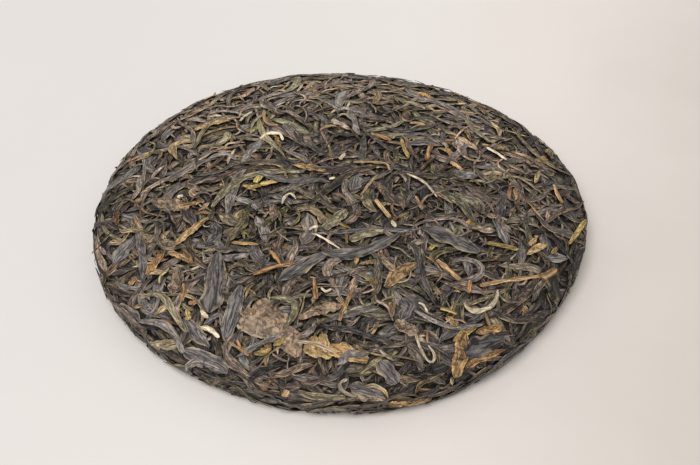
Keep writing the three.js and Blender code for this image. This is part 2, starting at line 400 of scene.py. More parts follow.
# The ridges along a leaf: their number across it, their coil and wander, and their height
RIDGE_COUNTS, BROAD_RIDGES = (0.7, 1.5), 1.8
TWIST_COIL, OTHER_COIL = 2.2, 0.8
RIDGE_WANDER, RIDGE_HEIGHT, RIDGE_POWER, RIDGE_LEVEL = 1.4, 2.0, 0.7, 1.4
SMALL_RIDGES, SMALL_RIDGE_WANDER, SMALL_RIDGE_HEIGHT = 2.3, 3, 0.3
SWELL_LEVEL, SWELL_SHARE = 0.75, 0.6
# A folded leaf's higher and lower half, and a broad leaf's dome, torn edge, sag, buckles and crush
HIGH_HALF, LOW_HALF = 1.35, 0.7
BROAD_DOME = 0.35
TORN = {"blade": 0.06, "crumple": 0.08}
SAG_SPREAD, SAG_SHARE, SAG_LEVEL = 0.5, 0.13, 0.4
BUCKLE_HEIGHT, CRUSH_HEIGHT, CRUSH_LEVEL = 0.4, 0.8, 1.3


class Kind:
    """A batch of leaves of one kind, before they are laid down."""

    def __init__(self, name, path, length, width, thickness, *, form, over=9, under=2, stiffness=0.2,
                 droop=1.0, ripple=0.34, tip=0.6, layer=(0.0, 0.95), tones=(0.0, 1.0), hues=(0.0, 1.0),
                 marks=(0.0, 1.0), keep=False):
        self.name, self.form, self.keep, self.droop = name, form, keep, droop
        self.line, self.sides = path
        self.count, self.stations = self.line.shape[:2]
        self.ring = over + under
        self.length, self.width, self.thickness = length, width, thickness
        self.broad = form in BROAD
        self.u = np.linspace(0, 1, self.stations)
        self.layer = np.linspace(*layer, self.count) if keep else random.uniform(*layer, self.count)
        middles = self.line[:, self.stations // 2]
        # The tone also carries painted light and shade from where the leaf lies on the cake
        self.tone = np.clip(random.uniform(*tones, self.count) + place_tone_and_painted_light(middles), *TONE_LIMITS)
        self.hue = random.uniform(*hues, self.count)
        self.mark = random.uniform(*marks, self.count)
        self.shape_section(over, under, ripple, tip)
        self.find_cells(stiffness)
        loose = np.clip((FIRM_LAYER - self.layer) / FIRM_LAYER, 0, 1)
        own_depth = np.clip(random.normal(LEAST_DEPTH, LEAST_DEPTH, self.count), 0, LEAST_DEPTH_LIMIT)
        self.least_depth = LOOSE_DEPTH * loose + own_depth
        self.laid = np.zeros(self.count, bool)

    def shape_section(self, over, under, ripple, tip):
        """Half widths, heights and the ring of each station, from its left edge round over the top."""
        body = self.taper(tip)
        column = np.linspace(1, -1, over)
        lower = np.linspace(-UNDER_EDGE, UNDER_EDGE, under)
        edge = np.concatenate([column, lower])
        crown, round_off = CROWNS[self.form]
        dome = np.concatenate([(1 - np.abs(column) ** crown) ** round_off, np.full(under, -UNDER_DEPTH)])
        inner = np.concatenate([1 - np.abs(column) ** EDGE_FALL, np.zeros(under)])
        self.v = np.concatenate([(1 - column) / 4, 0.5 + 0.5 * (lower + 1) / 2])
        wander = waves(self.u, self.count, *WANDER_WAVES)[:, :, None]
        ridge = self.folds(edge, wander) * inner
        self.x = edge * self.half[:, :, None] * (1 + EDGE_WANDER * wander * (1 - edge**2))
        if self.broad:
            thick = self.thickness[:, None, None]
            lie = self.lie_of_blade(edge, wander) + ripple * ridge * thick
            self.y = BROAD_DOME * thick * dome + lie * body[:, :, None]
        else:
            level = self.fold_levels(over, len(dome)) if self.form == "folded" else 1.0
            self.y = self.tall[:, :, None] / 2 * (dome * np.where(dome > 0, level, 1) + ripple * ridge)

    def taper(self, tip):
        """How full each station is, from the thin ends to the middle, which sets its width and height."""
        count, u = self.count, self.u
        rise = random.uniform(*RISE_SHARES, (count, 1))
        fall = random.uniform(*FALL_SHARES, (count, 1))
        ends = np.clip(np.minimum(u / rise, (1 - u) / fall), 0, 1)
        lean = random.uniform(*LEANS, (count, 1))
        uneven = TWIST_UNEVEN if self.form == "twist" else OTHER_UNEVEN
        body = (LEAST_BODY + (1 - LEAST_BODY) * np.sin(ends * np.pi / 2)) ** (tip * lean)
        body = body * (1 + uneven * waves(u, count, *BODY_WAVES))
        self.half = self.width[:, None] / 2 * body
        self.tall = self.thickness[:, None] * (LEAST_TALL + (1 - LEAST_TALL) * body)
        return body

    def folds(self, edge, wander):
        """Ridges along the leaf, which wander a little sideways, coil round a twist, and swell and fade."""
        count, u = self.count, self.u
        number = random.uniform(*RIDGE_COUNTS, (count, 1, 1)) * (BROAD_RIDGES if self.broad else 1.0)
        spread = TWIST_COIL if self.form == "twist" else OTHER_COIL
        coil = random.normal(0, spread, (count, 1, 1)) * u[None, :, None]
        start = random.uniform(0, np.pi, (count, 1, 1))
        turn = np.pi * number * edge + start + RIDGE_WANDER * wander + coil
        ridge = RIDGE_HEIGHT * np.abs(np.sin(turn)) ** RIDGE_POWER - RIDGE_LEVEL
        small = np.sin(SMALL_RIDGES * turn + SMALL_RIDGE_WANDER * waves(u, count, *SMALL_WAVES)[:, :, None])
        swell = SWELL_LEVEL + SWELL_SHARE * waves(u, count, *SWELL_WAVES)[:, :, None]
        return ridge * swell + SMALL_RIDGE_HEIGHT * small

    def lie_of_blade(self, edge, wander):
        """How a broad leaf lies up and down over its face. Its edges are made a little ragged too."""
        count, along = self.count, self.u[None, :, None]
        thick = self.thickness[:, None, None]
        first, second, third = (random.uniform(0, 2 * np.pi, (count, 1, 1)) for _ in range(3))
        ragged = np.sin(along * 31 + first + 2 * edge) * np.sin(along * 47 + third)
        ragged = ragged + 0.8 * np.sin(along * 14 + second + 1.5 * edge)
        self.x = self.x * (1 + TORN[self.form] * ragged)
        sag = random.normal(0.0, SAG_SPREAD, (count, 1, 1)) * self.width[:, None, None] * SAG_SHARE
        lie = sag * (edge**2 - SAG_LEVEL)
        buckles = BUCKLE_HEIGHT * np.sin(edge * 2.2 + along * 17 + third) * np.sin(along * 9 + second)
        lie = lie + buckles * thick
        if self.form == "crumple":
            crush = np.abs(np.sin(edge * 2.3 + along * 11 + third))
            crush = crush + np.abs(np.sin(edge * 3.1 - along * 17 + first))
            crush = crush + 0.6 * np.abs(np.sin(edge * 5.3 + along * 23 + 2 * wander + second))
            lie = lie + (CRUSH_HEIGHT * crush - CRUSH_LEVEL) * thick
        return lie

    def fold_levels(self, over, corners):
        """A folded leaf's two halves: one lies over the other, on the left or on the right."""
        split = random.integers(2, over - 2, (self.count, 1, 1))
        high = np.arange(corners)[None, None, :] < split
        high = high != (random.uniform(0, 1, (self.count, 1, 1)) < 0.5)
        return np.where(high, HIGH_HALF, LOW_HALF)

    def find_cells(self, stiffness):
        """The cells that each leaf dips under, and those that it covers, with its top and bottom there."""
        self.lanes = BROAD_LANES if self.broad else NARROW_LANES
        self.blur = blur_matrix(self.stations, stiffness)
        self.cross_blur = blur_matrix(self.lanes, CROSS_STIFFNESS)
        across = np.linspace(-1, 1, self.lanes) * (BROAD_EDGE if self.broad else NARROW_EDGE)
        half = self.half[:, :, None] * across[None, None, :]
        base, _, at = rest_on(self.line[:, :, None, :] + self.sides[:, :, None, :] * half[..., None])
        self.read_cells = cell_of(base, at)
        many_along = max(int(self.length.max() / PAINT_STEP), 3)
        many_across = max(int(self.width.max() / PAINT_STEP), 3)
        self.down = stretch_matrix(many_along, self.stations)
        self.over = stretch_matrix(many_across, self.lanes).T
        points = np.einsum("ak,nkc->nac", self.down, self.line)
        ways = np.einsum("ak,nkc->nac", self.down, self.sides)
        halves = np.einsum("ak,nk->na", self.down, self.half)
        tall = np.einsum("ak,nk->na", self.down, self.tall)[:, :, None]
        v = np.linspace(-1, 1, many_across)
        spread = halves[:, :, None] * v[None, None, :] * PAINT_SHARE
        base, _, at = rest_on(points[:, :, None, :] + ways[:, :, None, :] * spread[..., None])
        self.paint_cells = cell_of(base, at)
        crown, round_off = CROWNS["blade"]
        bulge = (1 - np.abs(v) ** crown) ** round_off
        self.top = tall * (0.5 - 0.5 * bulge)
        self.bottom = tall * (0.5 + UNDER_BULGE * bulge)
        self.depth = np.zeros((self.count, self.stations, self.lanes if self.broad else 1))
        self.shown = np.zeros(self.paint_cells.shape, bool)

    def lay(self, n, pile_depth, face_depth):
        """Puts leaf n under those that lie over its place, unless they hide it."""
        cells = self.paint_cells[n]
        bare = pile_depth[cells] == 0
        if not self.keep and bare.mean() < LEAST_SEEN:
            return
        over = pile_depth[self.read_cells[n]]
        if self.broad:
            need = np.maximum(over, self.least_depth[n])
            depth = self.blur @ need @ self.cross_blur.T
        else:
            need = np.maximum(over.max(1, keepdims=True), self.least_depth[n])
            depth = self.blur @ need
        depth = depth + DIP_SHARE * max(float((need - depth).max()), 0.0)
        depth = depth + self.droop * np.abs(2 * self.u - 1)[:, None] ** 3
        self.depth[n] = depth
        here = self.down @ depth
        here = here @ self.over if self.broad else here
        face_depth[cells] = np.minimum(face_depth[cells], here + self.top[n])
        pile_depth[cells] = np.maximum(pile_depth[cells], here + self.bottom[n])
        self.laid[n] = True
        self.shown[n] = bare

    def seen(self):
        """Which leaves show, and each one's first and last station that does."""
        last = self.stations - 1
        if self.keep:
            return self.laid, np.zeros(self.count, int), np.full(self.count, last)
        along = self.shown.mean(2) > LEAST_SHOWN
        steps = along.shape[1] - 1
        first = np.floor(along.argmax(1) / steps * last).astype(int) - 1
        final = np.ceil((steps - along[:, ::-1].argmax(1)) / steps * last).astype(int) + 1
        first = np.clip(first, 0, last - 2)
        final = np.clip(final, first + 2, last)
        return self.laid & along.any(1), first, final

    def depth_across(self, keep):
        """A broad leaf's depths, read from its lanes at the corners of its rings."""
        lanes = np.linspace(-BROAD_EDGE, BROAD_EDGE, self.lanes)
        half = np.maximum(self.half[keep][:, :, None], TINY)
        edge = np.clip(self.x[keep] / half, -BROAD_EDGE, BROAD_EDGE)
        place = (edge - lanes[0]) / (lanes[1] - lanes[0])
        low = np.clip(place.astype(int), 0, self.lanes - 2)
        part = place - low
        depth = np.take_along_axis(self.depth[keep], low, 2) * (1 - part)
        return depth + np.take_along_axis(self.depth[keep], low + 1, 2) * part

    def corners(self, keep, face_depth):
        """The leaves' ring corners in millimetres, pressed to the cake's surface, and how open they lie,
        which sets their painted shade.
        """
        depth = self.depth_across(keep) if self.broad else self.depth[keep]
        depth = depth + self.tall[keep][:, :, None] / 2 - self.y[keep]
        line, sides = self.line[keep][:, :, None, :], self.sides[keep][:, :, None, :]
        base, normal, at = rest_on(line + sides * self.x[keep][..., None])
        # Some leaves on the side stand off it at their ends
        ends = np.abs(2 * self.u - 1)[None, :, None] ** 3
        loose = LOOSE_END * np.clip(self.mark[keep] - LOOSE_FROM, 0, 1)[:, None, None] * ends
        side = (1 - SOFTNESS[at]) / (1 - SOFTNESS.min())
        inward = SKIN + pressed(np.maximum(depth, -PROUD), at) - loose * side
        return base - normal * inward[..., None], painted_shade_openness(base, at, depth, face_depth)


# Meshes. Each leaf is a tube of rings, closed by a point at either end. LeafMap runs along the leaf in
# millimetres and once round it, and OFBake gives each leaf a field of its own, in rows and columns.
TIP_REACH = 0.3
LOWEST = 0.05
BAKE_FIELD_SHAPE = 2.6
BAKE_MARGIN_ALONG, BAKE_MARGIN_ROUND = 0.03, 0.05


def out_of_round(points):
    """The same points in metres, drawn in or out by the cake's slow waves, most at the rim."""
    turn = np.arctan2(points[:, 1], points[:, 0])
    wave = sum(share * np.cos(lobes * turn - start) for lobes, share, start in OUT_OF_ROUND)
    radius = np.hypot(points[:, 0], points[:, 1]) / (CAKE_RADIUS * MM)
    return points * np.stack([1 + wave * radius**2, 1 + wave * radius**2, np.ones(len(points))], 1)


def ring_faces(stations, ring, v):
    """One leaf's triangles, which close its ends, and its quads, between its rings. Each sort comes as its
    number of corners, the corners' numbers, their stations, and their places round the leaf."""
    tips = stations * ring
    places = np.append(v, 1.0)
    j = np.arange(ring)
    beside = (j + 1) % ring
    last = stations - 1.0
    halfway, nought = np.full(ring, 0.5), np.zeros(ring)
    start = np.stack([np.full(ring, tips), beside, j], 1)
    end = np.stack([np.full(ring, tips + 1), tips - ring + j, tips - ring + beside], 1)
    start_stations = np.stack([nought - 0.5, nought, nought], 1)
    end_stations = np.stack([nought + last + 0.5, nought + last, nought + last], 1)
    start_places = np.stack([halfway, places[j + 1], places[j]], 1)
    end_places = np.stack([halfway, places[j], places[j + 1]], 1)
    yield (3, np.concatenate([start, end]), np.concatenate([start_stations, end_stations]),
           np.concatenate([start_places, end_places]))
    k, j = (grid.ravel() for grid in np.meshgrid(np.arange(stations - 1), j, indexing="ij"))
    beside = (j + 1) % ring
    quads = np.stack([k * ring + j, k * ring + beside, (k + 1) * ring + beside, (k + 1) * ring + j], 1)
    quad_places = np.stack([places[j], places[j + 1], places[j + 1], places[j]], 1)
    yield 4, quads, np.stack([k, k, k + 1, k + 1], 1), quad_places


def with_tips(rings):
    """The rings' corners, followed by the two points that close each leaf."""
    tips = []
    for outer, inner in ((0, 1), (-1, -2)):
        tip = rings[:, outer].mean(1)
        tip = tip + (tip - rings[:, inner].mean(1)) * TIP_REACH
        tip[:, 2] = np.clip(tip[:, 2], LOWEST, None)
        tips.append(tip[:, None])
    return np.concatenate([rings.reshape(len(rings), -1, 3), *tips], 1)


def corner_tints(kind, which, shade_openness):
    """Each corner's tone, hue and mark, which are its leaf's, and how open it lies, which sets its painted
    shade.
    """
    tips = [shade_openness[:, 0].mean(1)[:, None], shade_openness[:, -1].mean(1)[:, None]]
    corner_shade_openness = np.concatenate([shade_openness.reshape(len(which), -1), *tips], 1)
    tint = np.empty((*corner_shade_openness.shape, 4))
    tint[:, :, :3] = np.stack([kind.tone[which], kind.hue[which], kind.mark[which]], 1)[:, None]
    tint[:, :, 3] = corner_shade_openness
    return tint


def shown_parts(kinds, face_depth):
    """The leaves that show, in groups of one kind and as many stations, each group with its rings."""
    parts = []
    for kind in kinds:
        keep, first, final = kind.seen()
        rings, shade_openness = kind.corners(keep, face_depth)
        first, spans = first[keep], (final - first + 1)[keep]
        for span in np.unique(spans):
            chosen = np.flatnonzero(spans == span)
            which = np.flatnonzero(keep)[chosen]
            rows = np.arange(len(which))[:, None]
            take = first[chosen][:, None] + np.arange(span)
            shown_rings = rings[chosen][rows, take]
            shown_shade_openness = shade_openness[chosen][rows, take]
            parts.append((kind, which, shown_rings, shown_shade_openness, first[chosen]))
    return parts


def leaf_mesh(name, kinds, face_depth):
    """One mesh of all the leaves of these kinds that show, with their maps and marks."""
    parts = shown_parts(kinds, face_depth)
    total = sum(len(part[1]) for part in parts)
    columns = max(1, int(math.ceil(math.sqrt(total / BAKE_FIELD_SHAPE))))
    rows = max(1, int(math.ceil(total / columns)))
    corners, tints = [], []
    faces, patterns, bakes = ({3: [], 4: []} for _ in range(3))
    offset, number = 0, 0
    for kind, which, rings, shade_openness, first in parts:
        count, stations = rings.shape[:2]
        corners.append(with_tips(rings).reshape(-1, 3))
        tints.append(corner_tints(kind, which, shade_openness).reshape(-1, 4))
        size = stations * kind.ring + 2
        shift = (offset + np.arange(count) * size)[:, None, None]
        length, begin = kind.length[which][:, None, None], first[:, None, None]
        index = (number + np.arange(count))[:, None, None]
        column, row = index % columns, index // columns
        for sides, numbers, station, place in ring_faces(stations, kind.ring, kind.v):
            faces[sides].append((numbers[None] + shift).reshape(-1, sides))
            along = (station[None] + begin) / (kind.stations - 1) * length
            place = place[None] + 0 * along
            patterns[sides].append(np.stack([along, place], -1).reshape(-1, 2))
            part_along = (1 - 2 * BAKE_MARGIN_ALONG) * (station[None] + 0.5) / stations
            bake_u = (column + BAKE_MARGIN_ALONG + part_along) / columns
            bake_v = (row + BAKE_MARGIN_ROUND + (1 - 2 * BAKE_MARGIN_ROUND) * place) / rows
            bakes[sides].append(np.stack([bake_u + 0 * along, bake_v], -1).reshape(-1, 2))
        offset += count * size
        number += count
    maps = {
        "LeafMap": np.concatenate(patterns[3] + patterns[4]),
        "OFBake": np.concatenate(bakes[3] + bakes[4]),
    }
    triangles, quads = np.concatenate(faces[3]), np.concatenate(faces[4])
    corners = out_of_round(np.concatenate(corners) * MM)
    return smooth_piece(name, corners, triangles, quads, maps, np.concatenate(tints))


def smooth_piece(name, corners, triangles, quads, maps, tints):
    """A piece from its corners, its triangles and then its quads, smooth but for its sharp creases."""
    mesh = bpy.data.meshes.new(name)
    mesh.vertices.add(len(corners))
    mesh.vertices.foreach_set("co", corners.ravel())
    mesh.loops.add(triangles.size + quads.size)
    numbers = np.concatenate([triangles.ravel(), quads.ravel()])
    mesh.loops.foreach_set("vertex_index", numbers.astype(np.int32))
    mesh.polygons.add(len(triangles) + len(quads))
    starts = np.concatenate([np.arange(len(triangles)) * 3, triangles.size + np.arange(len(quads)) * 4])
    mesh.polygons.foreach_set("loop_start", starts.astype(np.int32))
    mesh.polygons.foreach_set("use_smooth", np.ones(len(starts), bool))
    mesh.update(calc_edges=True)
    for map_name, places in maps.items():
        layer = mesh.uv_layers.new(name=map_name)
        layer.uv.foreach_set("vector", places.astype(np.float32).ravel())
    # The tint's fourth channel is how open each corner lies, for painted shade
    marks = mesh.attributes.new("leaf_tint_and_shade", "FLOAT_COLOR", "POINT")
    marks.data.foreach_set("color", tints.astype(np.float32).ravel())
    mesh.validate()
    piece = bpy.data.objects.new(name, mesh)
    bpy.context.collection.objects.link(piece)
    bpy.ops.object.select_all(action="DESELECT")
    bpy.context.view_layer.objects.active = piece
    piece.select_set(True)
    bpy.ops.object.shade_smooth_by_angle(angle=CREASE_ANGLE)
    piece.select_set(False)
    return piece


# Materials
def new_nodes(material_name):
    material = bpy.data.materials.new(material_name)
    material.use_nodes = True
    tree = material.node_tree
    shader = tree.nodes["Principled BSDF"]
    return material, tree, shader


def add(tree, kind, inputs=None, **settings):
    node = tree.nodes.new(kind)
    for name, value in settings.items():
        setattr(node, name, value)
    for name, value in (inputs or {}).items():
        if isinstance(value, bpy.types.NodeSocket):
            tree.links.new(value, node.inputs[name])
        else:
            node.inputs[name].default_value = value
    return node


def maths(tree, operation, *values):
    return add(tree, "ShaderNodeMath", dict(enumerate(values)), operation=operation).outputs[0]


def times_plus(tree, value, factor, plus=0.0):
    return maths(tree, "MULTIPLY_ADD", value, factor, plus)


def moved(tree, level, value, share, middle=0.5):
    """A level moved by this share of a value's distance from its middle."""
    return times_plus(tree, value, share, times_plus(tree, level, 1.0, -middle * share))


def mapped(tree, value, low, high, to_low=0.0, to_high=1.0, **settings):
    """A value between low and high, spread over the new range."""
    inputs = {"Value": value, "From Min": low, "From Max": high, "To Min": to_low, "To Max": to_high}
    return add(tree, "ShaderNodeMapRange", inputs, **settings).outputs[0]


def mixed(tree, factor, first, second, blend="MIX"):
    """Two colours mixed. Inputs 6 and 7 of the node are its colours, and output 2 is the mix."""
    node = add(tree, "ShaderNodeMix", {"Factor": factor}, data_type="RGBA", blend_type=blend)
    for value, socket in ((first, node.inputs[6]), (second, node.inputs[7])):
        if isinstance(value, tuple):
            socket.default_value = (*value, 1)
        else:
            tree.links.new(value, socket)
    return node.outputs[2]


def ramp(tree, value, stops):
    node = add(tree, "ShaderNodeValToRGB", {"Fac": value})
    while len(node.color_ramp.elements) < len(stops):
        node.color_ramp.elements.new(0.5)
    for element, (place, colour) in zip(node.color_ramp.elements, stops):
        element.position = place
        element.color = (*colour, 1)
    return node.outputs["Color"]


def raised(tree, shader, height, distance, strength=1.0):
    """Gives the shader a relief of this height."""
    bump = add(tree, "ShaderNodeBump", {"Strength": strength, "Distance": distance, "Height": height})
    tree.links.new(bump.outputs[0], shader.inputs["Normal"])


def srgb(red, green, blue):
    """A colour as a paint card gives it, made linear."""
    parts = [part / 255 for part in (red, green, blue)]
    return tuple(part / 12.92 if part <= 0.04045 else ((part + 0.055) / 1.055) ** 2.4 for part in parts)


def shades(*colours, stops=(0.0, 0.3, 0.6, 1.0)):
    """Colours from a leaf's darkest to its palest, as stops of a ramp."""
    return [(stop, srgb(*colour)) for stop, colour in zip(stops, colours)]


HUE_SEED, LEAF_SEED = 91.0, 37.0
# How wide the thin crease lines are, which are darkened as painted shade
CREASE_WIDTH = 0.1


def leaf_grain_group():
    """Streaks, wrinkles, blotches and creases along a leaf, from its own map, with its own marks and how
    open it lies, for painted shade.
    """
    tree = bpy.data.node_groups.new("leaf_grain", "ShaderNodeTree")
    for name, value in (("Streak Width", 0.35), ("Streak Length", 9.0), ("Around", 8.0)):
        socket = tree.interface.new_socket(name, in_out="INPUT", socket_type="NodeSocketFloat")
        socket.default_value = value
    for name in ("Streaks", "Wrinkles", "Blotches", "Creases", "Edge", "Tone", "Hue", "Mark", "Open"):
        tree.interface.new_socket(name, in_out="OUTPUT", socket_type="NodeSocketFloat")
    given = tree.nodes.new("NodeGroupInput")
    result = tree.nodes.new("NodeGroupOutput")
    leaf_map = add(tree, "ShaderNodeUVMap", uv_map="LeafMap")
    tint = add(tree, "ShaderNodeAttribute", attribute_name="leaf_tint_and_shade")
    split = add(tree, "ShaderNodeSeparateXYZ", {0: leaf_map.outputs["UV"]})
    marks = add(tree, "ShaderNodeSeparateColor", {0: tint.outputs["Color"]})
    own = times_plus(tree, marks.outputs["Green"], HUE_SEED, marks.outputs["Blue"])
    own = times_plus(tree, own, LEAF_SEED)
    around = maths(tree, "MULTIPLY", split.outputs["Y"], given.outputs["Around"])
    place = add(tree, "ShaderNodeCombineXYZ", {0: split.outputs["X"], 1: around, 2: own})

    def grain(along, across, detail, rough, twist):
        stretch = add(tree, "ShaderNodeCombineXYZ", {0: along, 1: across, 2: 1.0})
        at = add(tree, "ShaderNodeVectorMath", {0: place.outputs[0], 1: stretch.outputs[0]},
                 operation="MULTIPLY")
        noise = add(tree, "ShaderNodeTexNoise", {"Vector": at.outputs[0], "Scale": 1.0, "Detail": detail,
                                                 "Roughness": rough, "Distortion": twist})
        return noise.outputs["Fac"]

    def lines(value, width):
        """1 in broad stretches, falling to 0 in thin lines."""
        away = maths(tree, "ABSOLUTE", maths(tree, "SUBTRACT", value, 0.5))
        return mapped(tree, away, 0.0, width)

    narrow = maths(tree, "DIVIDE", 1.0, given.outputs["Streak Width"])
    long = maths(tree, "DIVIDE", 1.0, given.outputs["Streak Length"])
    creases = grain(times_plus(tree, long, 1.6), times_plus(tree, narrow, 0.45), 2.0, 0.5, 0.7)
    turn = times_plus(tree, split.outputs["Y"], 2 * math.pi)
    links = {
        "Streaks": grain(long, narrow, 3.0, 0.62, 0.4),
        "Wrinkles": grain(0.55, 1.1, 3.0, 0.6, 0.6),
        "Blotches": grain(0.22, 0.35, 3.0, 0.55, 0.2),
        "Creases": lines(creases, CREASE_WIDTH),
        "Edge": maths(tree, "ABSOLUTE", maths(tree, "COSINE", turn)),
        "Tone": marks.outputs["Red"], "Hue": marks.outputs["Green"], "Mark": marks.outputs["Blue"],
        # Open is how open the corner lies, which sets the painted shade
        "Open": tint.outputs["Alpha"],
    }
    for name, output in links.items():
        tree.links.new(output, result.inputs[name])
    return tree


LEAF_GRAIN = leaf_grain_group()

# A leaf's own cast, from purple and slate grey by plain and rusty to yellow-green
CASTS = [(0.0, (1.08, 0.94, 0.93)), (0.25, (0.94, 0.97, 1.01)), (0.5, (1.0, 0.99, 0.99)),
         (0.75, (1.13, 0.95, 0.82)), (1.0, (1.02, 1.07, 0.74))]
# Painted shade: how much of its colour a place keeps, from hidden among higher leaves, nearly black, to
# open, where it is raised
PAINTED_SHADE_HIDDEN_TO_OPEN = [(0.0, (0.02, 0.019, 0.018)), (0.42, (0.14, 0.134, 0.13)), (0.72, (1.05, 1.05, 1.06)),
                  (1.0, (1.78, 1.78, 1.8))]
LEVEL_MIDDLE, CREASE_MIDDLE = 0.53, 0.78
STREAK_SHARE, WRINKLE_SHARE, BLOTCH_SHARE, TONE_SHARE = 0.7, 0.8, 0.7, 0.48
STREAK_RELIEF, WRINKLE_RELIEF, CREASE_RELIEF = 0.45, 0.8, 0.4
ACCENT_BLEND, ACCENT_BLOTCH = 0.22, 0.9
RIM_HIGHLIGHT_BLOTCHES, ROUGH_WRINKLES = (0.47, 0.6), (0.3, 0.7)
# A leaf's pale rim, its own colour and partly painted highlight: how sharp it is, and its colours
RIM_HIGHLIGHT_SHARPNESS = 9.0
PALE_RIM_HIGHLIGHT_COLOUR, TAN_RIM_HIGHLIGHT_COLOUR = (160, 144, 114), (196, 170, 122)
LEAF_ROUGHNESS = (0.38, 0.6)
LEAF_SPECULAR = 0.5


def leaf_material(name, palette, accents, *, rim=PALE_RIM_HIGHLIGHT_COLOUR, rim_highlight_share=0.62, streak_width=0.7,
                  streak_length=8.0, around=8.0, relief=0.8, accent_from=0.55, contrast=0.76, crease_shade=0.36):
    """A dried leaf: shades from dark to pale by its tone, streaks and creases, with painted shade in the
    creases and among higher leaves, accents by its hue, and a pale rim that is partly painted highlight.
    """
    material, tree, shader = new_nodes(name)
    widths = {"Streak Width": streak_width, "Streak Length": streak_length, "Around": around}
    out = add(tree, "ShaderNodeGroup", node_tree=LEAF_GRAIN).outputs
    for socket, value in widths.items():
        out["Streaks"].node.inputs[socket].default_value = value
    streaks, wrinkles = out["Streaks"], out["Wrinkles"]
    blotches, creases = out["Blotches"], out["Creases"]

    # Each term is centred on nought, so that the level stays about the middle of the shades
    streak_share = STREAK_SHARE * contrast
    level = times_plus(tree, streaks, streak_share, LEVEL_MIDDLE - streak_share / 2)
    level = moved(tree, level, wrinkles, WRINKLE_SHARE * contrast)
    level = moved(tree, level, blotches, BLOTCH_SHARE)
    level = moved(tree, level, out["Tone"], TONE_SHARE)
    # Thin dark crease lines: painted shade in the creases
    level = moved(tree, level, creases, crease_shade, CREASE_MIDDLE)
    colour = ramp(tree, level, palette)
    choose = times_plus(tree, out["Hue"], 1.0, -ACCENT_BLOTCH / 2)
    choose = times_plus(tree, blotches, ACCENT_BLOTCH, choose)
    choose = mapped(tree, choose, accent_from, accent_from + ACCENT_BLEND, interpolation_type="SMOOTHSTEP")
    colour = mixed(tree, choose, colour, ramp(tree, level, accents))
    # A paler rim of a leaf, its own colour and partly painted highlight, shows in broken stretches
    broken = mapped(tree, blotches, *RIM_HIGHLIGHT_BLOTCHES)
    pale_rim_highlight = maths(tree, "MULTIPLY", maths(tree, "POWER", out["Edge"], RIM_HIGHLIGHT_SHARPNESS), broken)
    colour = mixed(tree, times_plus(tree, pale_rim_highlight, rim_highlight_share), colour, srgb(*rim))
    colour = mixed(tree, 1.0, colour, ramp(tree, out["Mark"], CASTS), "MULTIPLY")
    # Painted shade, darker where higher leaves close round a place
    colour = mixed(tree, 1.0, colour, ramp(tree, out["Open"], PAINTED_SHADE_HIDDEN_TO_OPEN), "MULTIPLY")
    tree.links.new(colour, shader.inputs["Base Color"])
    tree.links.new(mapped(tree, wrinkles, *ROUGH_WRINKLES, *LEAF_ROUGHNESS), shader.inputs["Roughness"])
    height = times_plus(tree, streaks, STREAK_RELIEF, times_plus(tree, wrinkles, WRINKLE_RELIEF))
    height = times_plus(tree, creases, CREASE_RELIEF, height)
    raised(tree, shader, height, relief * MM)
    shader.inputs["Specular IOR Level"].default_value = LEAF_SPECULAR
    return material


CHARCOAL = shades((20, 18, 18), (60, 55, 54), (102, 96, 92), (162, 153, 144))
BROWN = shades((24, 20, 18), (67, 58, 52), (115, 101, 90), (190, 172, 152))
OLIVE = shades((26, 24, 18), (70, 64, 49), (119, 110, 86), (190, 177, 141))
FADED = shades((70, 58, 48), (118, 101, 85), (152, 133, 111), (188, 169, 140))
TAN = shades((44, 34, 24), (98, 78, 52), (146, 122, 82), (200, 178, 130))
STRAW = shades((56, 41, 28), (110, 85, 59), (155, 127, 91), (204, 175, 130))
PALE = shades((76, 67, 53), (122, 110, 90), (174, 160, 135), (232, 219, 194))
BED_PAINTED_SHADE_COLOURS = shades((8, 7, 6), (22, 19, 16), (42, 35, 28), stops=(0.3, 0.55, 0.75))
# Paper shades, with the darker end for the painted light falloff
PAPER_WITH_PAINTED_FALLOFF = shades(
    (234, 230, 228), (239, 234, 230), (236, 229, 223), (210, 202, 194), stops=(0.0, 0.4, 0.62, 1.0)
)

# One piece of leaves for each, by its name
LEAF_MATERIALS = {
    "charcoal_twists": leaf_material("charcoal_leaf", CHARCOAL, BROWN, accent_from=0.7),
    "charcoal_folds": leaf_material("folded_charcoal_leaf", CHARCOAL, BROWN, accent_from=0.75, around=10.0),
    "brown_twists": leaf_material("brown_leaf", BROWN, CHARCOAL, accent_from=0.6),
    "olive_twists": leaf_material("olive_leaf", OLIVE, BROWN, accent_from=0.6),
    "broad_leaves": leaf_material("broad_dark_leaf", CHARCOAL, BROWN, accent_from=0.75, around=16.0,
                                  streak_width=0.8, streak_length=18.0, rim_highlight_share=0.7, contrast=0.55,
                                  crease_shade=0.42, relief=0.5),
    "tan_leaves": leaf_material("tan_leaf", TAN, OLIVE, accent_from=0.65, around=7.0, rim=TAN_RIM_HIGHLIGHT_COLOUR,
                                contrast=0.9, crease_shade=0.35),
    "brown_leaves": leaf_material("faded_brown_leaf", FADED, TAN, accent_from=0.7, around=7.0, contrast=0.7,
                                  crease_shade=0.4, streak_width=1.1, streak_length=7.0, relief=0.9),
    "tan_stems": leaf_material("tan_stem", STRAW, BROWN, accent_from=0.8, around=7.0, rim_highlight_share=0.0,
                               contrast=0.8, crease_shade=0.45, streak_length=18.0, relief=0.5),
    "pale_buds": leaf_material("pale_bud", PALE, OLIVE, accent_from=0.5, around=3.5, rim_highlight_share=0.0,
                               contrast=0.5, crease_shade=0.3, relief=0.5),
    "dark_wires": leaf_material("dark_wire", BROWN, OLIVE, accent_from=0.7, around=2.6),
    "fragments": leaf_material("leaf_fragment", BROWN, TAN, accent_from=0.82, around=5.0),
}

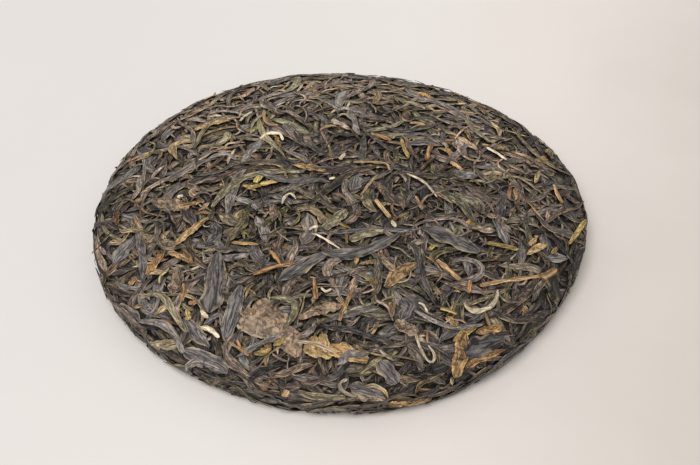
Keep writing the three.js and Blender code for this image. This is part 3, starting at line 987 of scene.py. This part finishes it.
# The bed under the leaves. Its rings are counted in outline numbers.
BED_SIDES = 96
BED_FIRST_RING, BED_RING_STEP, BED_PIT_GAP = 60, 30, 25
BED_RISE = 0.5
BED_LOWEST = 0.4
BED_GRAIN, BED_CRUMBS = 420.0, 700.0
BED_GRAIN_RELIEF, BED_RELIEF, BED_ROUGHNESS = 0.7, 0.8, 0.85


def leaf_bed():
    """The core that the leaves are pressed into, drawn out ring by ring and closed in the pit. It stands
    for the lower leaves, coloured near black as their painted shade.
    """
    stops = np.arange(BED_FIRST_RING, len(LINE) - BED_PIT_GAP, BED_RING_STEP)
    inner = LINE - OUTWARD * (SKIN + (BED_DEPTH - BED_RISE) * SOFTNESS)[:, None]
    inner[:, 1] = np.maximum(inner[:, 1], BED_LOWEST)
    bpy.ops.object.select_all(action="DESELECT")
    radius, height = inner[stops[0]]
    bpy.ops.mesh.primitive_circle_add(
        vertices=BED_SIDES, radius=radius * MM, fill_type="TRIFAN", location=(0, 0, height * MM)
    )
    bed = bpy.context.object
    bed.name = bed.data.name = "leaf_bed"
    bpy.ops.object.transform_apply(location=True, rotation=True, scale=True)
    bpy.ops.object.mode_set(mode="EDIT")
    mesh = bmesh.from_edit_mesh(bed.data)
    for part in [*mesh.verts, *mesh.edges, *mesh.faces]:
        part.select_set(False)
    for edge in mesh.edges:
        edge.select_set(edge.is_boundary)
    bmesh.update_edit_mesh(bed.data)
    for new_radius, new_height in inner[stops[1:]]:
        lift = (0, 0, (new_height - height) * MM)
        bpy.ops.mesh.extrude_edges_move(TRANSFORM_OT_translate={"value": lift})
        grown = new_radius / radius
        bpy.ops.transform.resize(value=(grown, grown, 1.0), center_override=(0, 0, new_height * MM))
        radius, height = new_radius, new_height
    bpy.ops.mesh.edge_face_add()
    bpy.ops.mesh.select_all(action="SELECT")
    bpy.ops.mesh.normals_make_consistent(inside=False)
    bpy.ops.object.mode_set(mode="OBJECT")
    bpy.ops.object.shade_smooth()
    corners = np.array([vertex.co for vertex in bed.data.vertices])
    bed.data.vertices.foreach_set("co", out_of_round(corners).ravel())
    return bed


def bed_material():
    material, tree, shader = new_nodes("painted_shade_leaf_bed")
    place = add(tree, "ShaderNodeTexCoord").outputs["Object"]
    grain = {"Vector": place, "Scale": BED_GRAIN, "Detail": 5.0, "Roughness": 0.6}
    coarse = add(tree, "ShaderNodeTexNoise", grain).outputs["Fac"]
    crumbs = add(tree, "ShaderNodeTexVoronoi", {"Vector": place, "Scale": BED_CRUMBS}, feature="F1")
    # The bed's near-black colour is painted shade of the deep gaps between the leaves
    tree.links.new(ramp(tree, coarse, BED_PAINTED_SHADE_COLOURS), shader.inputs["Base Color"])
    height = times_plus(tree, coarse, BED_GRAIN_RELIEF, crumbs.outputs["Distance"])
    raised(tree, shader, height, BED_RELIEF * MM)
    shader.inputs["Roughness"].default_value = BED_ROUGHNESS
    return material


bed = leaf_bed()
bed.data.materials.append(bed_material())


# Laying the leaves. One leaf in five curls much more than the others.
LENGTH_SHARES = [0.6, 0.85, 1.0, 1.15]
CURLS = [1.0, 1.0, 1.0, 1.0, 2.6]
WIGGLE_WAVES, WIGGLE_REACH = (0.6, 2.2), 6


def thicknesses(widths, thick, form):
    """A share of the width, or plain millimetres on a broad leaf."""
    return np.full(len(widths), thick) if form in BROAD else widths * thick


def batch(name, stretch, count, length, width, thick, *, form, stations=16, turn=0.6, wiggle=0.35,
          spread=(0.75, 0.45), **settings):
    """Leaves scattered evenly over a stretch of the surface, of lengths and widths between two bounds."""
    spots = spots_on_cake(count, *stretch)
    headings = headings_at(spots, *spread)
    lengths = random.uniform(*length, count) * random.choice(LENGTH_SHARES, count)
    widths = random.uniform(*width, count)
    curl = random.choice(CURLS, (count, 1))
    bend = random.normal(0, turn, (count, 1)) * curl / lengths[:, None]
    wave = waves(np.linspace(0, 1, stations), count, *WIGGLE_WAVES)
    bend = bend + wiggle * wave * WIGGLE_REACH / lengths[:, None]
    path = walked_path(spots, headings, lengths, bend)
    return Kind(name, path, lengths, widths, thicknesses(widths, thick, form), form=form, **settings)


def smooth_through(knots, stations):
    """Even points on a smooth curve through the knots."""
    knots = np.concatenate([[2 * knots[0] - knots[1]], knots, [2 * knots[-1] - knots[-2]]])
    t = np.linspace(0, 1, 20, endpoint=False)[:, None]
    points = []
    for a, b, c, d in zip(knots, knots[1:], knots[2:], knots[3:]):
        points.append(0.5 * (2 * b + (c - a) * t + (2 * a - 5 * b + 4 * c - d) * t**2
                             + (3 * b - a - 3 * c + d) * t**3))
    points = np.concatenate([*points, knots[-2][None]])
    run = np.concatenate([[0], np.cumsum(np.linalg.norm(np.diff(points, axis=0), axis=1))])
    at = np.linspace(0, run[-1], stations)
    return np.stack([np.interp(at, run, points[:, axis]) for axis in range(3)], 1)


def traced(name, leaves, thick, *, form, stations=24, **settings):
    """Leaves that show clearly in the photograph, each laid through a few of its pixels."""
    knots = [np.array([cake_point(pixel) for pixel in pixels]) for _, _, pixels in leaves]
    line, normals, _ = rest_on(np.array([smooth_through(points, stations) for points in knots]))
    sides = unit(np.cross(normals, unit(np.gradient(line, axis=1))))
    length = np.linalg.norm(np.diff(line, axis=1), axis=2).sum(1)
    widths = np.array([leaf[0] for leaf in leaves], float)
    thickness = thicknesses(widths, thick, form)
    kind = Kind(name, (line, sides), length, widths, thickness, form=form, keep=True, **settings)
    kind.tone = np.array([leaf[1] for leaf in leaves], float)
    return kind


def gap_fill(name, pile_depth, count, length, width, thick, *, form, stations, **settings):
    """Small leaves dropped into places that the larger ones leave bare, the foot apart."""
    ring_of = np.repeat(np.arange(RING_COUNT), RING_CELLS)
    share = (np.arange(len(pile_depth)) - RING_START[ring_of] + 0.5) / RING_CELLS[ring_of] - 0.5
    low = np.flatnonzero((pile_depth == 0) & (ring_of * CELL / OUTLINE_STEP < FOOT_FROM))
    chosen = random.choice(low, min(count, len(low)), replace=False)
    count = len(chosen)
    at = outline_number(ring_of[chosen])
    turn = share[chosen] * 2 * np.pi
    spots = np.stack([LINE[at, 0] * np.cos(turn), LINE[at, 0] * np.sin(turn), LINE[at, 1]], 1)
    headings = headings_at(spots, 3.0, 0.8)
    lengths = random.uniform(*length, count)
    widths = random.uniform(*width, count)
    wave = random.normal(0, 0.8, (count, 1)) + 3 * waves(np.linspace(0, 1, stations), count, 0.6, 1.5)
    path = walked_path(spots, headings, lengths, wave / lengths[:, None])
    return Kind(name, path, lengths, widths, thicknesses(widths, thick, form), form=form, **settings)


# Leaves placed where the photograph shows them: width in millimetres, tone, and pixels along the middle
SEEN_BUDS = [
    (1.7, 1.0, [(260, 137), (268, 132), (279, 132), (283, 138)]),
    (1.0, 1.0, [(315, 232), (327, 239), (340, 247)]),
    (1.8, 0.8, [(200, 309), (203, 313), (207, 317)]),
    (2.0, 0.9, [(200, 326), (209, 329), (218, 337)]),
    (1.1, 1.0, [(321, 286), (326, 290), (331, 287)]),
    (2.0, 0.5, [(501, 290), (499, 300), (491, 308), (478, 311), (470, 308), (466, 302)]),
    (1.0, 1.0, [(419, 301), (424, 304), (428, 311)]),
    (1.1, 0.45, [(416, 331), (420, 345), (427, 358), (433, 361), (435, 354), (429, 344)]),
    (1.2, 0.7, [(282, 202), (285, 195), (291, 192), (296, 197)]),
    (1.3, 0.9, [(309, 228), (313, 226), (318, 225)]),
    (1.4, 0.9, [(487, 146), (496, 151), (506, 158)]),
    (1.2, 0.6, [(407, 171), (424, 180), (437, 194)]),
    (1.3, 0.7, [(240, 119), (246, 114), (252, 110)]),
    (1.6, 0.9, [(392, 219), (396, 225)]),
    (1.4, 1.0, [(329, 177), (335, 176)]),
    (1.8, 0.9, [(177, 195), (183, 193)]),
    (1.8, 0.7, [(340, 157), (345, 151)]),
    (1.3, 0.2, [(347, 377), (340, 382), (342, 389), (354, 396)]),
]
SEEN_STEMS = [
    (1.5, 0.6, [(264, 108), (264, 115), (269, 122), (278, 123)]),
    (1.7, 0.7, [(371, 131), (381, 134), (391, 138)]),
    (1.3, 0.6, [(354, 160), (372, 160), (386, 162), (390, 168)]),
    (1.9, 0.7, [(451, 160), (456, 163), (462, 168)]),
    (1.6, 0.6, [(416, 194), (419, 200), (423, 207)]),
    (1.8, 0.5, [(253, 272), (265, 268), (277, 264), (294, 261)]),
    (1.6, 0.3, [(270, 249), (276, 256), (281, 263)]),
    (1.9, 0.3, [(314, 277), (315, 287), (316, 297)]),
    (2.3, 0.6, [(438, 258), (450, 268), (462, 278)]),
    (2.0, 0.6, [(483, 284), (505, 280), (530, 277), (550, 275)]),
    (3.4, 0.4, [(546, 277), (553, 274), (561, 269)]),
    (2.0, 0.5, [(472, 280), (471, 286), (471, 292)]),
    (1.8, 0.4, [(339, 318), (345, 304), (352, 289)]),
    (1.3, 0.5, [(337, 296), (342, 301), (346, 305)]),
    (1.1, 0.7, [(228, 342), (238, 348), (248, 355)]),
    (1.0, 0.7, [(236, 340), (239, 346), (242, 353)]),
    (1.9, 1.0, [(376, 198), (383, 207), (390, 215)]),
    (1.8, 0.8, [(553, 183), (557, 192), (562, 201)]),
    (1.5, 0.4, [(183, 282), (184, 290), (181, 300)]),
    (2.6, 0.5, [(283, 398), (287, 390)]),
    (2.2, 0.3, [(427, 158), (429, 149), (432, 142)]),
    (1.2, 0.4, [(346, 232), (347, 241)]),
    (1.8, 0.6, [(188, 302), (196, 301)]),
    (2.0, 0.6, [(532, 243), (538, 237)]),
]
SEEN_TAN_LEAVES = [
    (8.0, 0.45, [(304, 344), (317, 346), (333, 352)]),
    (6.5, 0.55, [(326, 346), (346, 350), (368, 358)]),
    (3.4, 0.8, [(322, 332), (324, 340), (327, 350)]),
    (5.4, 0.3, [(386, 285), (398, 272), (417, 261)]),
    (3.4, 0.6, [(175, 243), (191, 230), (208, 216)]),
    (3.0, 0.4, [(447, 316), (453, 320), (459, 326)]),
]
SEEN_RUSTY_LEAVES = [
    (5.4, 0.25, [(466, 332), (463, 352), (456, 378)]),
    (3.4, 0.5, [(478, 333), (492, 330), (507, 328)]),
    (3.0, 0.4, [(467, 368), (484, 359), (508, 352)]),
    (3.6, 0.4, [(148, 272), (154, 262), (164, 250)]),
    (2.4, 0.5, [(168, 250), (178, 254), (190, 261)]),
    (2.2, 0.5, [(176, 206), (190, 203), (204, 199)]),
    (3.8, 0.2, [(389, 404), (410, 405), (432, 400)]),
]
SEEN_GREEN_SPRIGS = [
    (2.4, 0.8, [(243, 183), (252, 185), (262, 181)]),
    (2.6, 1.2, [(255, 180), (259, 175), (264, 170)]),
    (2.6, 1.0, [(260, 182), (270, 180), (280, 176)]),
    (2.2, 0.5, [(488, 241), (504, 244), (521, 248)]),
    (2.2, 0.8, [(571, 244), (579, 231), (585, 220)]),
    (1.6, 0.8, [(402, 137), (404, 146), (409, 156)]),
    (2.0, 0.9, [(186, 309), (187, 314), (188, 320)]),
    (2.4, 0.5, [(253, 354), (262, 352), (271, 348)]),
    (2.2, 0.6, [(273, 345), (280, 341), (287, 336)]),
]
SEEN_BROWN_LEAVES = [
    (9.0, 0.1, [(256, 300), (266, 308), (276, 316), (283, 325)]),
    (9.0, 0.3, [(234, 314), (246, 320), (262, 328), (280, 335)]),
    (6.0, 0.4, [(234, 300), (242, 307), (252, 316)]),
    (8.0, 0.2, [(284, 324), (290, 338), (297, 356)]),
    (4.0, 0.2, [(298, 316), (320, 309), (341, 303)]),
    (6.0, 0.0, [(152, 198), (170, 202), (189, 206)]),
    (5.0, 0.1, [(180, 268), (176, 280), (172, 292)]),
    (5.0, 0.0, [(396, 318), (407, 326), (418, 330)]),
    (4.6, 0.4, [(350, 390), (364, 394), (386, 400)]),
]
SEEN_OLIVE_LEAVES = [
    (2.2, 0.6, [(195, 146), (203, 130), (219, 116), (244, 115)]),
    (3.6, 0.6, [(212, 204), (225, 188), (247, 173), (275, 168), (303, 169)]),
    (3.2, 0.7, [(405, 99), (415, 101), (426, 106)]),
    (4.4, 0.7, [(149, 347), (162, 345), (177, 343)]),
    (2.7, 0.8, [(139, 297), (152, 293), (164, 297), (173, 312), (184, 331)]),
    (2.6, 0.8, [(111, 240), (118, 241), (127, 237)]),
    (5.0, 0.7, [(324, 226), (334, 218), (346, 208)]),
    (3.0, 0.7, [(297, 206), (310, 207), (320, 213), (322, 221)]),
    (4.4, 0.8, [(350, 237), (366, 231), (383, 228)]),
    (3.0, 0.6, [(270, 296), (286, 297), (295, 304), (292, 316), (283, 327)]),
    (1.4, 0.9, [(362, 386), (374, 384), (384, 389), (388, 397)]),
    (2.8, 0.5, [(298, 392), (314, 396), (330, 397), (345, 396)]),
]
SEEN_BLADES = [
    (7.5, 0.3, [(424, 226), (450, 237), (481, 251)]),
    (8.5, 0.35, [(208, 311), (214, 284), (218, 250)]),
    (6.0, 0.5, [(225, 337), (232, 311), (240, 284)]),
    (6.6, 0.34, [(278, 278), (300, 265), (328, 249)]),
    (5.4, 0.28, [(322, 249), (346, 252), (373, 246), (401, 231)]),
    (9.0, -0.1, [(467, 353), (486, 346), (508, 340)]),
    (6.5, 0.5, [(182, 351), (196, 357), (211, 363), (226, 371)]),
    (7.0, 0.5, [(114, 262), (122, 250), (134, 236)]),
    (5.5, 0.6, [(183, 316), (190, 326), (199, 338), (208, 346)]),
    (4.5, 0.4, [(350, 384), (366, 389), (384, 393)]),
    (6.0, 0.45, [(379, 360), (388, 370), (397, 382)]),
    (6.5, 0.35, [(402, 296), (410, 304), (402, 318)]),
]
SEEN_DARK_FOLDS = [
    (2.2, 0.6, [(318, 231), (345, 229), (373, 226), (400, 228), (421, 227)]),
    (3.0, 0.8, [(185, 375), (188, 366), (197, 362), (211, 367), (226, 374)]),
    (3.4, 0.5, [(137, 231), (142, 250), (143, 280)]),
    (3.0, 0.8, [(138, 320), (160, 323), (173, 334), (181, 353)]),
    (1.9, 1.0, [(415, 309), (436, 321), (459, 328), (485, 325)]),
    (3.2, 0.6, [(258, 170), (285, 178), (310, 176)]),
]

# How each sort is shaped, on the face and on the underside
TWIST = dict(form="twist", over=9, under=2, tip=0.9)
FOLDED = dict(form="folded", over=10, under=2, tip=1.0)
BLADE = dict(form="blade", over=13, under=2, stiffness=0.12, ripple=0.3, tip=1.2, turn=0.5)
CRUMPLE = dict(form="crumple", over=9, under=2, turn=0.5, layer=(0.35, 0.95))
STEM = dict(form="twist", over=7, under=2, turn=0.25, wiggle=0.08, ripple=0.15, tip=0.15, stiffness=0.3,
            droop=0.5, layer=(0.45, 0.95))
BUD = dict(form="twist", over=6, under=2, turn=0.9, wiggle=0.4, ripple=0.2, tip=0.8, tones=(0.0, 0.5),
           layer=(0.4, 0.95))
WIRE = dict(form="twist", over=4, under=2, turn=1.3, wiggle=0.8, ripple=0.1, droop=0.6, stations=14)
FRAGMENT = dict(form="folded", over=6, under=2, turn=0.6, wiggle=0.3, ripple=0.3, tip=0.8,
                layer=(0.25, 0.95), spread=(1.4, 0.9))
ROUND_RIM = dict(turn=0.3, wiggle=0.3, layer=(0.4, 0.9))
UNDER_TWIST = dict(form="twist", over=7, under=2, stations=13)
UNDER_FOLDED = dict(form="folded", over=7, under=2, stations=13)
UNDER_BLADE = dict(form="blade", over=10, under=2, stations=13, turn=0.4, wiggle=0.2, stiffness=0.14,
                   ripple=0.3, tip=0.7)
SEEN_CRUMPLE = dict(form="crumple", over=13, under=2, ripple=0.6, tip=0.6, droop=0.5, stiffness=0.1)
SEEN_FOLDED = dict(form="folded", over=11, under=2, droop=0.5)
FILL = dict(under=2, layer=(0.1, 0.4))

# Each batch: its piece, stretch, number of leaves, their lengths and widths in millimetres, and thickness
kinds = [
    batch("charcoal_twists", FACE, 1500, (16, 40), (1.6, 3.4), 0.46, turn=0.9, wiggle=0.7, **TWIST),
    batch("charcoal_folds", FACE, 1000, (16, 38), (2.4, 5.2), 0.32, turn=0.7, wiggle=0.6, **FOLDED),
    batch("brown_twists", FACE, 900, (14, 36), (1.4, 3.2), 0.46, turn=1.0, wiggle=0.7, **TWIST),
    batch("olive_twists", FACE, 480, (12, 30), (1.5, 3.8), 0.38, turn=1.0, wiggle=0.6, **FOLDED),
    batch("broad_leaves", FACE, 340, (15, 32), (3.4, 6.8), 0.9, **BLADE),
    batch("charcoal_folds", RIM, 260, (12, 26), (2.6, 5.0), 0.3, **ROUND_RIM, **FOLDED),
    batch("brown_twists", RIM, 200, (10, 24), (1.8, 3.4), 0.4, **ROUND_RIM, **TWIST),
    batch("tan_leaves", FACE, 170, (6, 16), (1.6, 3.6), 0.6, wiggle=0.3, tip=0.7, **CRUMPLE),
    batch("tan_stems", FACE, 120, (5, 18), (0.9, 1.7), 0.9, stations=12, **STEM),
    batch("pale_buds", FACE, 240, (4, 14), (0.7, 1.5), 0.6, stations=12, **BUD),
    batch("dark_wires", TOP, 900, (8, 26), (0.6, 1.2), 0.8, layer=(0.3, 0.98), **WIRE),
    batch("fragments", FACE, 1900, (4, 11), (0.8, 2.0), 0.45, stations=7, **FRAGMENT),
    batch("charcoal_twists", UNDERSIDE, 300, (18, 34), (2.4, 4.4), 0.4, **UNDER_TWIST),
    batch("charcoal_folds", UNDERSIDE, 230, (18, 34), (3.0, 6.0), 0.3, **UNDER_FOLDED),
    batch("brown_twists", UNDERSIDE, 280, (16, 32), (2.2, 4.2), 0.4, **UNDER_TWIST),
    batch("olive_twists", UNDERSIDE, 110, (16, 30), (2.4, 4.4), 0.35, **UNDER_FOLDED),
    batch("broad_leaves", UNDERSIDE, 120, (18, 36), (5.0, 9.0), 0.9, **UNDER_BLADE),
    batch("tan_leaves", UNDERSIDE, 36, (8, 20), (2.4, 6.0), 0.6, stations=12, **CRUMPLE),
    batch("tan_stems", UNDERSIDE, 36, (6, 22), (1.2, 2.2), 0.9, stations=10, **STEM),
    batch("pale_buds", UNDERSIDE, 44, (5, 16), (1.0, 2.0), 0.6, stations=10, **BUD),
    batch("dark_wires", UNDERSIDE, 140, (8, 26), (0.8, 1.4), 0.8, layer=(0.3, 0.95), **WIRE),
    batch("fragments", UNDERSIDE, 420, (3, 9), (1.2, 3.2), 0.45, stations=6, **FRAGMENT),
    traced("pale_buds", SEEN_BUDS, 0.7, form="twist", over=8, under=2, ripple=0.2, tip=0.35, droop=0.4,
           stiffness=0.12, layer=(0.985, 0.999), hues=(0.0, 0.2), marks=(0.35, 0.55)),
    traced("tan_stems", SEEN_STEMS, 0.8, form="twist", over=9, under=2, ripple=0.16, tip=0.16, droop=0.3,
           stiffness=0.25, layer=(0.975, 0.985), hues=(0.0, 0.2), marks=(0.5, 0.7)),
    traced("tan_leaves", SEEN_TAN_LEAVES, 0.55, layer=(0.94, 0.955), hues=(0.0, 0.3), marks=(0.5, 0.65),
           **SEEN_CRUMPLE),
    traced("tan_leaves", SEEN_RUSTY_LEAVES, 0.6, layer=(0.95, 0.96), hues=(0.0, 0.3), marks=(0.62, 0.75),
           **SEEN_CRUMPLE),
    traced("tan_leaves", SEEN_GREEN_SPRIGS, 0.45, form="folded", over=9, under=2, tip=0.5, droop=0.4,
           stiffness=0.12, layer=(0.97, 0.975), hues=(0.0, 0.2), marks=(0.95, 1.0)),
    traced("brown_leaves", SEEN_BROWN_LEAVES, 0.9, form="crumple", over=15, under=2, ripple=0.7, tip=0.5,
           droop=0.5, stiffness=0.1, layer=(0.935, 0.95), hues=(0.0, 0.3), marks=(0.4, 0.6)),
    traced("olive_twists", SEEN_OLIVE_LEAVES, 0.4, tip=0.45, stiffness=0.12, layer=(0.965, 0.98),
           hues=(0.0, 0.3), marks=(0.3, 0.7), **SEEN_FOLDED),
    traced("broad_leaves", SEEN_BLADES, 0.9, form="blade", over=15, under=2, ripple=0.3, tip=0.7, droop=0.6,
           stiffness=0.14, layer=(0.95, 0.965), hues=(0.0, 0.3), marks=(0.3, 0.5)),
    traced("charcoal_folds", SEEN_DARK_FOLDS, 0.4, tip=0.4, stiffness=0.14, layer=(0.965, 0.98),
           hues=(0.0, 0.3), marks=(0.1, 0.6), **SEEN_FOLDED),
]

# For each cell, how deep the leaves laid so far reach, and the depth of the uppermost face
pile_depth = np.zeros(int(RING_CELLS.sum()))
face_depth = np.full(len(pile_depth), BED_DEPTH)
by_layer = ((kind.layer[n], i, n) for i, kind in enumerate(kinds) for n in range(kind.count))
for _, i, n in sorted(by_layer, reverse=True):
    kinds[i].lay(n, pile_depth, face_depth)
crumbs = gap_fill("fragments", pile_depth, 1500, (3, 8), (0.9, 2.4), 0.5, form="folded", over=6,
                  stations=7, **FILL)
threads = gap_fill("dark_wires", pile_depth, 400, (6, 14), (0.7, 1.2), 0.8, form="twist", over=4,
                   stations=10, ripple=0.1, droop=0.6, **FILL)
for kind in (threads, crumbs):
    for n in range(kind.count):
        kind.lay(n, pile_depth, face_depth)
kinds += [crumbs, threads]

pieces = [bed]
for name, material in LEAF_MATERIALS.items():
    piece = leaf_mesh(name, [kind for kind in kinds if kind.name == name], face_depth)
    piece.data.materials.append(material)
    pieces.append(piece)

for piece in pieces:
    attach(piece, "root")
    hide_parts("tea_cake")

# The floor and the light
FLOOR_SIZE = 40.0
PAPER_GRAIN, PAPER_RELIEF, PAPER_RELIEF_STRENGTH = 14.0, 2, 0.3
PAPER_ROUGHNESS, PAPER_SPECULAR = 0.9, 0.2
# The paper's painted light falloff: its lean, and from where to where it runs; and the paper's mottle
FALLOFF_LEAN, FALLOFF_FROM, FALLOFF_TO, TINT_MOTTLE = -0.3, -0.16, 0.2, 0.2


def paper_material():
    """Pale paper with painted light falloff: a little darker and warmer to the right and the front."""
    material, tree, shader = new_nodes("pale_sheet")
    place = add(tree, "ShaderNodeTexCoord").outputs["Object"]
    grain = {"Vector": place, "Scale": PAPER_GRAIN, "Detail": 4.0, "Roughness": 0.5}
    mottle = add(tree, "ShaderNodeTexNoise", grain).outputs["Fac"]
    split = add(tree, "ShaderNodeSeparateXYZ", {0: place})
    # Painted light falloff across the floor, darker to the right and the front
    painted_falloff = times_plus(tree, split.outputs["Y"], FALLOFF_LEAN, split.outputs["X"])
    tint = times_plus(tree, mottle, TINT_MOTTLE, mapped(tree, painted_falloff, FALLOFF_FROM, FALLOFF_TO))
    tint = times_plus(tree, tint, 1.0, -TINT_MOTTLE / 2)
    tree.links.new(ramp(tree, tint, PAPER_WITH_PAINTED_FALLOFF), shader.inputs["Base Color"])
    raised(tree, shader, mottle, PAPER_RELIEF * MM, strength=PAPER_RELIEF_STRENGTH)
    shader.inputs["Roughness"].default_value = PAPER_ROUGHNESS
    shader.inputs["Specular IOR Level"].default_value = PAPER_SPECULAR
    return material


bpy.ops.object.select_all(action="DESELECT")
bpy.ops.mesh.primitive_plane_add(size=FLOOR_SIZE, location=(0, 0, 0))
floor = bpy.context.object
floor.name = "pale_floor"
floor.data.materials.append(paper_material())


def soft_room(colour, strength):
    world = bpy.data.worlds.new("soft_room")
    bpy.context.scene.world = world
    world.use_nodes = True
    background = world.node_tree.nodes["Background"]
    background.inputs["Color"].default_value = (*colour, 1)
    background.inputs["Strength"].default_value = strength


def soft_light(name, place, size, power, colour):
    """A square lamp that shines on the cake."""
    lamp = bpy.data.lights.new(name, "AREA")
    lamp.shape = "RECTANGLE"
    lamp.size, lamp.size_y = size, size
    lamp.energy = power
    lamp.color = colour
    holder = bpy.data.objects.new(name, lamp)
    holder.location = place
    holder.rotation_euler = (-Vector(place)).to_track_quat("-Z", "Y").to_euler()
    bpy.context.collection.objects.link(holder)


soft_room((1.0, 0.985, 0.965), 0.4)
soft_light("window_light", (-2.16, -6.0, 10.56), 7.2, 1140.0, (1.0, 0.99, 0.975))
bpy.context.scene.view_settings.view_transform = "Standard"
bpy.context.scene.view_settings.look = "None"
